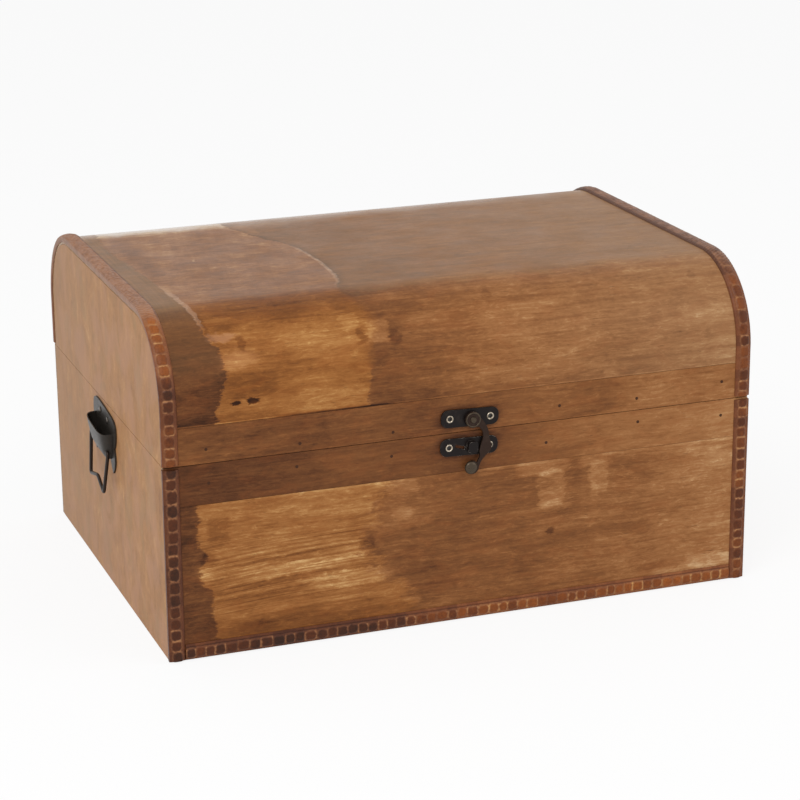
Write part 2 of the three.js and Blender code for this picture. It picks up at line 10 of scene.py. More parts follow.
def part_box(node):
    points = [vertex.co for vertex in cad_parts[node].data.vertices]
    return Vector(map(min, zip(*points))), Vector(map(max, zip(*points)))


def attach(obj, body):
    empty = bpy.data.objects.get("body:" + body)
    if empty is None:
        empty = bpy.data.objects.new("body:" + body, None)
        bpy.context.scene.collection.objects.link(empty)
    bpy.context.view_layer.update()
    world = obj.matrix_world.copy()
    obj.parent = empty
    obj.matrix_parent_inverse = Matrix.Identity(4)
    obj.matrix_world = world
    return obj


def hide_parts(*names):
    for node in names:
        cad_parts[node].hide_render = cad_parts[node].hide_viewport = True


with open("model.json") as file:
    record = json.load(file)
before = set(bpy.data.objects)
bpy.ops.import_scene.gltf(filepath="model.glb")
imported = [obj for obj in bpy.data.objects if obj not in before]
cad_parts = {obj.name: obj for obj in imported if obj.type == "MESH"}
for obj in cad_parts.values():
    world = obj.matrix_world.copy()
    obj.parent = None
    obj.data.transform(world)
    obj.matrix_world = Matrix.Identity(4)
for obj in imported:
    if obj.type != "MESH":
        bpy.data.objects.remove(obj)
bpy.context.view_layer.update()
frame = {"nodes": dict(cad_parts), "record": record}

# Sizes of the solids that the dressed pieces follow, in millimetres
MM = 0.001
HALF_WIDTH = 175.0
HALF_DEPTH = 129.0
BASE_HEIGHT = 112.0
LID_BOTTOM = 112.3
LID_TOP = 190.0
SHOULDER = 48.0
ARC_Y = HALF_DEPTH - SHOULDER
ARC_Z = LID_TOP - SHOULDER
BASE_RAIL_JOINT = 89.0
GLUE_GAP = 0.1

# The leather edging, in millimetres
TRIM_WIDTH = 8.6
TRIM_LEG = 3.0
TRIM_EDGE = 0.6
LID_TRIM_HEIGHT = 1.9
CORNER_TRIM_HEIGHT = 1.5
BOTTOM_TRIM_RISE = 1.3
BOTTOM_TRIM_HEIGHT = 9.3
FLOOR_CLEARANCE = 0.4
TRIM_SETBACK = 1.0
TRIM_BUTT_GAP = 0.3
TRIM_STEP = 0.4
DOME_POINTS = 26
LEG_POINTS = 6
BRAID_PITCH = 2.4

# Its scales, in millimetres; the last three are shares of a scale's half width
SCALE_PITCH = 6.7
LEFT_CORNER_PITCH = 7.2
RIGHT_CORNER_PITCH = 6.2
BOTTOM_PITCH = 6.2
SCALE_RISE = 0.38
SCALE_CENTRE = 3.7
SCALE_HALF_WIDTH = 2.7
SCALE_CREASE = 0.75
CREASE_DEPTH = 0.12
BOTTOM_GROOVE = 7.6
SCALE_SLOPE = (0.82, 1.04)
CREASE_AT = 1.12
CREASE_REACH = 0.14

# The latch: how far its faces stand off the wood, and its knob from its pivot, in millimetres
LATCH_FACE = 1.1
HOOK_FACE = 3.3
KNOB_SHIFT = (-1.52, -27.77)
# The paint and rust on the wire bails, in millimetres
WIRE_COAT = 0.25

# How the solids are smoothed: weld distance in metres, edge radii in millimetres, and angles
WELD = 1e-5
FLAT_ANGLE = math.radians(0.5)
BEVEL_ANGLE = math.radians(40)
SHARP_ANGLE = math.radians(50)
BOARD_EDGE = 0.25
HIDDEN_BOARD_EDGE = 0.3
PLATE_EDGE = 0.3
HOOK_EDGE = 0.35
HANDLE_EDGE = 0.2
HINGE_EDGE = 0.15

# The camera, fitted to the photograph: millimetres and degrees
CAMERA_PLACE = (-494.84, -1367.25, 552.78)
CAMERA_TURN = -20.179
CAMERA_DROP = 17.570
CAMERA_ROLL = -0.4544
CAMERA_LENS = 113.32

# Light; each lamp is (name, place in metres, size in metres, power in watts)
WORLD_LIGHT = 0.62
SEEN_WHITE = 1.0
FLOOR_SEEN_SHARE = 0.85
FLOOR_GREY = 0.95
FLOOR_REACH = 6.0
FLOOR_DROP = 0.0004
LAMPS = [
    ("key", (-1.1, -1.3, 1.9), 1.4, 26),
    ("fill", (1.6, -1.2, 1.2), 1.6, 8),
]
LAMP_AIM = (0, 0, 0.1)

# Shine of the surfaces
WOOD_SHINE = 0.12
LEATHER_SHINE = 0.2
BLACK_SHINE = 0.15
WORN_SHINE = 0.3

# Tints of the strip along the foot, as (x, share) points
FOOT_TINTS = [(-167, 0.2), (-110, 0.1), (-60, 0.15), (-20, 0.42), (40, 0.5), (167, 0.62)]

# Turned forms, as (radius, height) in millimetres: a hollow rivet head, as the latch's fixings look
EYELET = [(0, -6), (0.8, -6), (0.8, 0), (2.1, 0), (2.2, 0.3), (2.05, 0.6), (1.75, 0.7),
          (1.45, 0.56), (1.25, 0.2), (1.15, -0.4), (0, -0.45)]
# Inside this radius an eyelet is painted dark, as the shade in its hollow
EYELET_HOLLOW = 1.22
# The raised rim and the low dome that the hook's head and thumb knob carry
HEAD_RIM = [(3.5, -0.3), (3.55, 0.12), (3.8, 0.36), (4.15, 0.4), (4.4, 0.2), (4.5, -0.3), (3.5, -0.3)]
KNOB_DOME = [(0, -0.3), (3.75, -0.3), (3.75, 0.1), (3.4, 0.7), (2.6, 1.15), (1.4, 1.42), (0, 1.5)]
# A small nail head, driven a little under the surface, and where the nails are, as (x, z)
NAIL = [(0, -2), (0.5, -2), (0.5, -0.05), (0.85, -0.02), (0.9, 0.06), (0.6, 0.12), (0, 0.13)]
LID_NAILS = [(-151, 120.3), (-98, 117), (-44, 116.9), (56, 120.5), (104, 119.2), (158, 123)]
BASE_NAILS = [(-150, 101), (-100, 104), (-45, 103), (48, 99.6), (105, 105.1), (158, 102.7)]

RANDOM_SEED = 7

# The grain of the wood wanders from straight lines: length and height of its waves, in millimetres
WAVE_LENGTH = 55
WAVE_HEIGHT = 5
# The stain fades out between these depths under the outside, in millimetres
STAIN_END = (0.9, 1.6)
# The arc of the scrapes: where it levels out, in millimetres, and how hard it bends
STROKES_LEVEL = -45
STROKES_BEND = 0.0004
# The rubbed streaks on the lid's top lean by this much to the right as they go back
TOP_SLANT = 0.2
# A mark that darkens the tone by more than this is a crisp dark fleck
FLECK_CHANGE = -0.5

# The front panel, in millimetres: the scraped patch's edges as (z, x) points, tones of the plain
# wood along x and of the scraped wood along z, and marks as (left, right, low, high, change)
PANEL_LEFT = [
    (0, -147), (14, -148), (30, -150), (36, -149), (42, -155), (52, -157), (58, -152), (66, -158),
    (75, -157), (90, -158),
]
PANEL_RIGHT = [
    (0, -38), (16, -34), (25, -40), (34, -50), (40, -57), (53, -60), (67, -55), (84, -48),
    (90, -46),
]
PANEL_TONE = [
    (-175, 0.22), (-150, 0.26), (-60, 0.42), (-20, 0.44), (20, 0.45), (60, 0.49), (100, 0.54),
    (130, 0.62), (175, 0.7),
]
PANEL_BARE_TONE = [
    (0, 0.5), (14, 0.52), (24, 0.66), (34, 0.58), (42, 0.7), (52, 0.73), (60, 0.66), (70, 0.67),
    (82, 0.66), (90, 0.66),
]
PANEL_SCRAPES = [
    (-150, -62, 40.6, 43.4, -0.14), (-148, -64, 54.2, 55.6, -0.16), (-140, -66, 57.8, 59, -0.14),
    (-150, -80, 60.8, 61.8, -0.1), (-152, -60, 50.8, 52, -0.14), (-150, -100, 47, 48, -0.12),
    (-146, -100, 33, 36, -0.07), (-150, -62, 44, 50, 0.07), (-145, -60, 36, 40, 0.1),
]
PANEL_MARKS = [
    (31, 62, 80, 92, 0.17), (42.5, 60, 61, 83, 0.18), (44, 63, 59.6, 64.5, 0.16),
    (70, 88, 82, 92, 0.13), (74.5, 87, 65, 84, 0.16), (62.5, 69.5, 62, 92, -0.05),
    (38, 52, 46, 52, 0.1), (48, 53, 44, 48, -0.3), (-92, -45, 30, 39.5, 0.15),
    (-58, -44, 31, 39, 0.08), (-54, -14, 58, 73, 0.09), (60, 100, 22, 38, 0.04),
    (140, 172, 10, 18, 0.14), (108, 150, 9.5, 12.6, 0.1), (118, 138, 12, 24, -0.05),
    (-46, -29, 79, 88, 0.14), (-44, -32, 65, 73, 0.13), (-30, -6, 52, 62, 0.02),
    (-64, -55, 51, 58, -0.2), (-60, -49, 43.5, 50, -0.1), (-28, -4, 18, 50, -0.05),
    (-152, -140, 64, 80, -0.12), (-157, -147, 52, 61, -0.2), (-160, -150, 47, 54, 0.08),
    (-152, -138, 41, 49, -0.1), (-120, -100, 31, 39, -0.12), (-136, -117, 10, 17, -0.16),
    (-115, -88, 14, 21, -0.12), (-150, -60, 9, 21, -0.04), (-160, -100, 66, 90, -0.05),
    (-64, -36, 80, 88, -0.04), (92, 114, 60, 80, -0.05), (88, 112, 40, 50, -0.07),
    (-38, -27, 13, 18, 0.14), (-36, -30, 24, 60, -0.05), (20, 32, 12, 30, 0.03),
]

# The lid's sheet, in millimetres: the same along the way over the lid instead of z
SHEET_LEFT = [
    (0, -143), (22, -144), (37, -142), (45, -138.5), (58, -138), (65, -142), (74, -146),
    (86, -147.5), (108, -151), (137, -152), (171, -154), (202, -156), (223, -159), (272, -157),
    (330, -160),
]
SHEET_RIGHT = [
    (0, -57), (30, -57), (40, -56), (56, -54), (68, -50), (85, -56), (98, -60), (120, -54),
    (159, -51), (190, -53), (210, -57), (227, -65), (265, -77), (330, -90),
]
SHEET_TONE = [
    (-175, 0.22), (-145, 0.24), (-56, 0.38), (-20, 0.44), (10, 0.55), (60, 0.59), (120, 0.62),
    (175, 0.68),
]
SHEET_TOP_CHANGE = [(-175, 0.14), (-56, 0.0), (40, -0.1), (175, -0.09)]
# The bared wood's tone rises from 262 to 296 mm over the back shoulder, as a painted glare
SHEET_BARE_TONE = [
    (0, 0.64), (25, 0.64), (40, 0.58), (55, 0.64), (68, 0.62), (80, 0.5), (92, 0.45), (100, 0.5),
    (112, 0.56), (140, 0.56), (205, 0.56), (245, 0.58), (262, 0.7), (280, 0.98), (296, 0.9),
    (325, 0.5), (360, 0.46),
]
SHEET_MARKS = [
    (-54, -42, 57, 70, 0.2), (-50, -42, 56, 62, 0.08), (-61, -55, 57, 66, -0.18),
    (-34, -10, 58, 72, 0.07), (60, 112, 56, 70, -0.04), (-42, -36, 54, 63, -0.14),
    (-68, -58, 66, 76, 0.12), (-70, -60, 78, 90, -0.08), (-105, -62, 57, 70, 0.08),
    (-92, -58, 23, 38, 0.07), (-137, -115, 46, 62, 0.05), (-139, -106, 35.5, 48, -0.2),
    (-128.5, -123.5, 60, 69, -0.2), (-140, -127, 72.3, 77.5, -0.2), (-139, -130, 61.5, 65.5, -0.1),
    (-124, -96, 47, 58, -0.17), (-138, -122, 46, 51, -0.1), (-144, -108, 23, 31, 0.04),
    (-136.2, -131, 31, 33.6, -0.62), (-127, -120.2, 31.2, 34, -0.62), (-131, -127, 32, 34, 0.14),
    (-130, -90, 76, 90, -0.06), (-56, -20, 24, 36, -0.05), (-50, -18, 73, 76, -0.08),
    (2, 16, 36, 39, 0.09), (-8, -2, 28, 34, 0.08), (145, 151, 75, 81, -0.12),
    (19, 23.5, 77, 84, -0.09), (146, 154, 38, 43, -0.08), (84, 92, 22, 27, 0.1),
    (106, 114, 66, 74, -0.05), (-118.7, -117.5, 188.2, 189.6, 0.9), (-45, -30, 84, 92, 0.08),
    (30, 75, 24, 34, 0.05), (110, 175, 44, 62, 0.05), (148, 170, 21, 29, 0.1),
    (-150, -128, 168, 206, -0.05), (-152, -141, 150, 262, -0.08), (-76, -63, 232, 262, 0.14),
    (-98, -74, 200, 216, -0.06), (-30, 40, 50, 56, 0.04),
]

# Tones of the rails and of the back boards along x
FRONT_RAIL_TONE = [
    (-175, 0.17), (-150, 0.19), (-120, 0.25), (-80, 0.33), (-50, 0.35), (-20, 0.32), (10, 0.3),
    (40, 0.42), (70, 0.55), (110, 0.58), (140, 0.66), (175, 0.72),
]
LID_RAIL_TONE = [
    (-175, 0.34), (-150, 0.35), (-110, 0.32), (-60, 0.37), (-20, 0.32), (20, 0.44), (50, 0.52),
    (72, 0.46), (100, 0.54), (140, 0.6), (175, 0.62),
]
BACK_TONE = [(-175, 0.5), (-90, 0.42), (0, 0.46), (90, 0.38), (175, 0.3)]


def paint(red, green, blue):
    """A colour as it is seen, 0 to 255, as the linear colour that a shader takes."""
    def linear(value):
        share = value / 255
        return share / 12.92 if share <= 0.04045 else ((share + 0.055) / 1.055) ** 2.4
    return (linear(red), linear(green), linear(blue), 1.0)


# The brown boards from their darkest stain to bare scraped wood, as (tone, red, green, blue)
BROWNS = [(0.0, 46, 24, 12), (0.2, 90, 53, 29), (0.35, 113, 70, 38), (0.5, 133, 85, 47),
          (0.65, 154, 104, 62), (0.8, 176, 130, 86), (1.0, 216, 182, 138)]
# Unstained wood, from its streaks to its clean parts
BARE = [(0.1, 120, 86, 54), (0.5, 166, 128, 88), (0.9, 198, 164, 122)]
GOLD = paint(255, 242, 196)
RUST = paint(142, 78, 38)

# Layers of grain: size in millimetres, shift, detail, roughness, warp and strength
GRAIN = {
    "clouds": ((42, 24, 17), 0, 5, 0.6, 0.7, 0.46),
    "stains": ((17, 9, 6), 2, 7, 0.66, 1.1, 0.45),
    "flakes": ((8, 3.4, 2.2), 3, 6, 0.7, 0.9, 0.38),
    "bands": ((95, 5.5, 3.8), 5, 3, 0.5, 0.3, 0.26),
    "streaks": ((52, 2.1, 1.5), 4, 4, 0.6, 0.3, 0.33),
    "fine": ((15, 0.9, 0.75), 6, 4, 0.7, 0.0, 0.23),
    "specks": ((2.4, 1.3, 1.1), 8, 3, 0.75, 0.0, 0.15),
}
END_GRAIN = {
    "fine": ((0.9, 0.9, 6), 0, 4, 0.75, 0.0, 0.18),
    "bands": ((4, 4, 60), 3, 4, 0.55, 0.0, 0.26),
    "clouds": ((15, 15, 24), 5, 6, 0.62, 0.8, 1.25),
    "flakes": ((4, 4, 6), 6, 5, 0.7, 0.8, 0.55),
    "specks": ((1.5, 1.5, 1.9), 7, 3, 0.75, 0.0, 0.3),
}

# The metals: dark colour, worn colour, metallic share, roughness, wear and shine
METALS = {
    "black_iron": ((24, 18, 17), (84, 70, 62), 0.0, 0.34, -0.04, BLACK_SHINE),
    # Bevel looks: worn edges of the metal, painted brighter as glints
    "black_iron_glint_edge": ((60, 50, 46), (196, 184, 170), 0.5, 0.26, 0.24),
    "bronzed_iron": ((48, 34, 27), (104, 80, 58), 0.3, 0.36, 0.0, BLACK_SHINE),
    "bronzed_iron_glint_edge": ((112, 92, 72), (222, 204, 178), 0.7, 0.26, 0.24),
    "knob_iron": ((66, 54, 40), (124, 108, 80), 0.55, 0.3, 0.08),
    "grey_iron": ((50, 45, 40), (128, 120, 104), 0.3, 0.4, 0.06, WORN_SHINE),
    "grey_iron_glint_edge": ((74, 68, 60), (160, 150, 134), 0.5, 0.34, 0.2),
    "brown_wire": ((36, 25, 18), (112, 80, 54), 0.2, 0.38, 0.04, WORN_SHINE),
    "worn_steel": ((96, 88, 80), (190, 180, 168), 0.9, 0.3, 0.1),
    "aged_brass": ((70, 56, 38), (140, 112, 70), 0.85, 0.4, 0.05),
    "rusted_nail": ((66, 40, 25), (104, 66, 40), 0.0, 0.7, 0.0, BLACK_SHINE),
}


def set_up(thing, **settings):
    """Sets a thing's properties by their names and gives it back."""
    for name, value in settings.items():
        setattr(thing, name, value)
    return thing


def reckon(operation, swapped=False):
    """An operator of Value, which adds a Math node."""
    def apply(self, other=0.0):
        a, b = (other, self) if swapped else (self, other)
        return self.nodes.math(operation, a, b)
    return apply


class Value:
    """What a node puts out; reckoning with it adds nodes."""

    def __init__(self, nodes, socket):
        self.nodes = nodes
        self.socket = socket

    __add__ = __radd__ = reckon("ADD")
    __sub__ = reckon("SUBTRACT")
    __rsub__ = reckon("SUBTRACT", swapped=True)
    __mul__ = __rmul__ = reckon("MULTIPLY")
    __truediv__ = reckon("DIVIDE")
    __pow__ = reckon("POWER")
    __abs__ = reckon("ABSOLUTE")

    def ease(self, start, end, low=0.0, high=1.0):
        """Goes smoothly from low to high while the value goes from start to end."""
        inputs = {0: self, 1: start, 2: end, 3: low, 4: high}
        if start > end:
            inputs = {0: self, 1: end, 2: start, 3: high, 4: low}
        return self.nodes.value("MapRange", inputs, interpolation_type="SMOOTHSTEP")

    def curve(self, points):
        """Follows a smooth curve through (value, result) points."""
        first, last = points[0][0], points[-1][0]
        low = min(result for _, result in points)
        span = max(result for _, result in points) - low
        share = self.nodes.value("MapRange", {0: self, 1: first, 2: last})
        made = self.nodes.node("FloatCurve", {1: share})
        line = made.mapping.curves[0]
        while len(line.points) < len(points):
            line.points.new(0.5, 0.5)
        for point, (at, result) in zip(line.points, points):
            point.location = ((at - first) / (last - first), (result - low) / span)
        made.mapping.update()
        return Value(self.nodes, made.outputs[0]) * span + low

    def ramp(self, stops):
        """Colours that follow the value, through (value, red, green, blue) rows."""
        made = self.nodes.node("ValToRGB", {0: self})
        bands = made.color_ramp.elements
        while len(bands) < len(stops):
            bands.new(0.5)
        for band, (at, *colour) in zip(bands, stops):
            band.position = at
            band.color = paint(*colour)
        return Value(self.nodes, made.outputs[0])


class Nodes:
    """The nodes of a material or a world: most calls add one and give back what it puts out."""

    def __init__(self, owner):
        owner.use_nodes = True
        self.tree = owner.node_tree
        self.tree.nodes.clear()

    def node(self, kind, inputs=None, **settings):
        made = set_up(self.tree.nodes.new("ShaderNode" + kind), **settings)
        for key, value in (inputs or {}).items():
            socket = made.inputs[key]
            if isinstance(value, Value):
                self.tree.links.new(value.socket, socket)
            else:
                socket.default_value = value
        return made

    def value(self, kind, inputs=None, output=0, **settings):
        return Value(self, self.node(kind, inputs, **settings).outputs[output])

    def math(self, operation, a, b=0.0):
        return self.value("Math", {0: a, 1: b}, operation=operation)

    def larger(self, a, b):
        return self.math("MAXIMUM", a, b)

    def smaller(self, a, b):
        return self.math("MINIMUM", a, b)

    def seen_directly(self):
        """1 for rays from the camera or off shiny surfaces, 0 for those that light things."""
        rays = self.node("LightPath").outputs
        camera, glossy, through = [Value(self, rays[name]) for name in
                                   ("Is Camera Ray", "Is Glossy Ray", "Is Transmission Ray")]
        return self.larger(self.larger(camera, glossy), through)


class Look(Nodes):
    """A material of the trunk, in millimetres of the part at rest."""

    def __init__(self, name):
        self.material = bpy.data.materials.new(name)
        super().__init__(self.material)
        place = self.value("TexCoord", output="Object")
        self.place = self.value("VectorMath", {0: place, 3: 1 / MM}, operation="SCALE")
        self.x, self.y, self.z = self.split(self.place)
        sway = self.value("TexNoise",
                          {"Vector": self.place, "Scale": 1 / WAVE_LENGTH, "Detail": 2.0}, output=1)
        self.bent = self.value("VectorMath",
                               {0: sway, 1: (WAVE_HEIGHT,) * 3, 2: self.place},
                               operation="MULTIPLY_ADD")
        self.torn = None

    def split(self, place):
        return [Value(self, part) for part in self.node("SeparateXYZ", {0: place}).outputs]

    def raw_noise(self, place, detail, roughness, warp):
        """Noise about zero, from -0.5 to 0.5, whose grain is as large as one step of the place."""
        inputs = {"Vector": place, "Scale": 1.0, "Detail": detail,
                  "Roughness": roughness, "Distortion": warp}
        return self.value("TexNoise", inputs) - 0.5

    def noise(self, size, shift=0.0, detail=3.0, roughness=0.55, warp=0.0):
        """Noise about zero; size is its grain along X, Y and Z in millimetres."""
        moved = (shift, shift * 1.7, shift * 0.6)
        scaled = self.value("VectorMath", {0: self.bent, 1: [1 / s for s in size], 2: moved},
                            operation="MULTIPLY_ADD")
        return self.raw_noise(scaled, detail, roughness, warp)

    def strokes(self, along, across, size, shift):
        """Long thin scrapes, about zero; size is their length and width in millimetres."""
        rows = {0: along * (1 / size[0]), 1: shift, 2: across * (1 / size[1])}
        return self.raw_noise(self.value("CombineXYZ", rows), 4.0, 0.6, 0.5)

    def mix(self, share, a, b, blend="MIX"):
        return self.value("Mix", {0: share, 6: a, 7: b}, output=2,
                          data_type="RGBA", blend_type=blend)

    def attribute(self, name):
        return self.value("Attribute", output="Fac", attribute_name=name)

    def tear(self):
        """Noise in millimetres that tears the edges of marks, along and up."""
        if self.torn is None:
            broad = [self.noise((7, 7, 4.5), seed, 3, warp=0.5) for seed in (3.1, 13.7)]
            small = [self.noise((2.4, 2.4, 1.6), seed, 5, roughness=0.75)
                     for seed in (23.1, 33.7)]
            fibres = self.noise((9, 1.9, 1.2), 43.3, 5, roughness=0.7)
            self.torn = [broad[0] * 8 + small[0] * 5 + fibres * 9, broad[1] * 9 + small[1] * 5]
        return self.torn

    def patch(self, up, left, right, low, high, soft=0.6, ragged=1.0, square=5.0):
        """1 inside a torn mark in the plane of x and the given height; square sets its corners."""
        along, upward = self.tear()
        wide, tall = (right - left) / 2, (high - low) / 2
        a = self.x + along * ragged - (left + right) / 2
        b = up + upward * (ragged * 0.6) - (low + high) / 2
        aside = (abs(a) * (1 / wide)) ** square
        above = (abs(b) * (1 / tall)) ** square
        far = (aside + above) ** (1 / square)
        reach = soft / min(wide, tall)
        return far.ease(1 + reach, max(0.0, 1 - reach))

    def depth(self):
        """How deep a point lies under the outside of the closed trunk, in millimetres."""
        out_y = self.larger(abs(self.y) - ARC_Y, 0.0)
        out_z = self.larger(self.z - ARC_Z, 0.0)
        return SHOULDER - self.math("SQRT", out_y * out_y + out_z * out_z)

    def finish(self, colour, roughness, relief, depth, metallic=0.0, shine=0.5):
        """Ends the material: relief is a height of which 1 stands for depth in millimetres."""
        bump = self.value("Bump", {"Height": relief, "Distance": depth * MM})
        shader = self.value("BsdfPrincipled", {
            "Base Color": colour, "Roughness": roughness, "Metallic": metallic,
            "Specular IOR Level": shine, "Normal": bump,
        })
        self.node("OutputMaterial", {0: shader})
        return self.material


def grain(look, seed, layers):
    """Layers of noise about zero: their sum, and each of them by its name."""
    noises = {name: look.noise(size, seed + shift, *kind)
              for name, (size, shift, *kind, _) in layers.items()}
    return sum(made * layers[name][-1] for name, made in noises.items()), noises


def wood_grain(look, seed):
    """The grain of the boards with sharper edges to its stains; its fine layer and its stains."""
    grains, layers = grain(look, seed, GRAIN)
    edged = layers["stains"].ease(0.03, 0.09, 0.0, -0.07)
    bright = layers["flakes"].ease(0.06, 0.12, 0.0, 0.05)
    return grains + edged + bright, layers["fine"], layers["stains"]


def brown_wood(look, tone, seed, relief=0.0, rough=0.42, gold=None, tints=(), lively=1.0):
    """Stained wood, its grain as strong as lively says; where it looks into the trunk it is bare."""
    grains, fine, stains = wood_grain(look, seed)
    colour = (tone + grains * lively).ramp(BROWNS)
    rust = look.noise((19, 10, 8), seed + 10, 5, warp=0.8).ease(-0.04, 0.16)
    colour = look.mix((rust + stains * 0.8) * 0.15, colour, RUST)
    if gold is not None:
        colour = look.mix(gold, colour, GOLD, blend="MULTIPLY")
    for share, other in tints:
        colour = look.mix(share, colour, paint(*other))
    pores = look.noise((6, 0.7, 0.6), seed + 12, 2).ease(0.16, 0.25)
    colour = look.mix(pores * 0.4, colour, paint(58, 32, 17))
    bare = (grains * 1.1 + 0.45).ramp(BARE)
    colour = look.mix(look.depth().ease(*STAIN_END), colour, bare)
    roughness = look.noise((22, 18, 10), seed + 14) * 0.25 + rough
    return look.finish(colour, roughness, fine * 0.5 - pores * 0.4 + relief, 0.12, shine=WOOD_SHINE)


def marked(look, tone, up, marks):
    """Adds torn rectangles (left, right, low, high, change) to a tone; the darkest are crisp."""
    for left, right, low, high, change in marks:
        width, height = right - left, high - low
        ragged = min(1.0, 0.13 * min(width, 2.5 * height))
        square = 2.0 if width < 9 else 4.0
        soft = min(1.2, 0.4 + 0.08 * width) if change > 0.1 else 0.15 * width
        soft = min(soft, 0.45 * height, 4.0)
        if change < FLECK_CHANGE:
            ragged, square, soft = 0.75, 2.2, 0.35
        tone += look.patch(up, left, right, low, high, soft, ragged, square) * change
    return tone


def scrape_arc(look):
    """Height in millimetres, measured along the arcs of the scrapes, with the wood's small waves."""
    ahead = look.x - STROKES_LEVEL
    waves = (look.split(look.bent)[2] - look.z) * 0.3
    return look.z + ahead * ahead * STROKES_BEND + waves


def base_front_look(name, seed):
    """The front panel: a scraped patch on its left, two rubbed spots and a stained middle."""
    look = Look(name)
    coarse = look.noise((14, 6, 4.5), 5.3, 6, roughness=0.7, warp=0.8)
    along, _ = look.tear()
    past_left = look.x + along - look.z.curve(PANEL_LEFT)
    past_right = look.z.curve(PANEL_RIGHT) - (look.x + coarse * 44 + along * 1.6)
    patch = past_left.ease(-1.0, 1.4) * past_right.ease(-8, 7)
    arc = scrape_arc(look)
    zone = abs(look.z - 46).ease(34, 12) * look.x.ease(-40, -66)
    broad = look.strokes(look.x, arc, (100, 3.4), 0.3) * 0.5
    short = look.strokes(look.x, arc, (60, 0.8), 4.3) * 0.35
    lines = look.strokes(look.x, arc, (110, 1.15), 2.3).ease(0.03, 0.1) * -0.13
    hair = look.strokes(look.x, arc, (80, 0.6), 8.3).ease(0.04, 0.1) * -0.09
    scraped = look.z.curve(PANEL_BARE_TONE) + (broad + short + lines + hair) * zone
    scraped = marked(look, scraped, arc, PANEL_SCRAPES)
    tone = patch * scraped + (1 - patch) * look.x.curve(PANEL_TONE)
    tone = marked(look, tone, look.z, PANEL_MARKS)
    under_rail = (look.z - BASE_RAIL_JOINT).ease(-2.4, -0.9)
    tone += under_rail * look.noise((40, 9, 9), 9.1).ease(-0.12, 0.1) * 0.14
    return brown_wood(look, tone, seed, relief=patch * -0.5, gold=patch * 0.55)


def plain_front_look(name, seed, tones, plate=None, lively=1.0):
    """A rail or a back board, its tone set along x; dirt and painted shade darken it round a plate."""
    look = Look(name)
    tone = look.x.curve(tones)
    if plate is not None:
        low, high = [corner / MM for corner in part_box(plate)]
        # Dirt round the plate, and the plate's shade on the wood, painted as a darker halo
        tone += look.patch(look.z, low.x - 2.5, high.x + 2.5, low.z - 0.3, high.z + 2,
                           soft=1.6, ragged=0.3, square=3.0) * -0.16
    return brown_wood(look, tone, seed, lively=lively)


def way_round(look):
    """How far a point of the lid lies from its front lower edge, over the top, in millimetres."""
    up = look.larger(look.z - ARC_Z, 0.001)
    ahead = look.larger(-ARC_Y - look.y, 0.0)
    behind = look.larger(look.y - ARC_Y, 0.0)
    turned_by = look.math("ARCTAN2", up, ahead) + look.math("ARCTAN2", behind, up)
    low = look.smaller(look.z, ARC_Z) - BASE_HEIGHT
    low_behind = (ARC_Z - BASE_HEIGHT - low) * look.math("GREATER_THAN", look.y, 0.0) * 2.0
    on_top = look.smaller(look.larger(look.y + ARC_Y, 0.0), 2 * ARC_Y)
    return low + low_behind + turned_by * SHOULDER + on_top


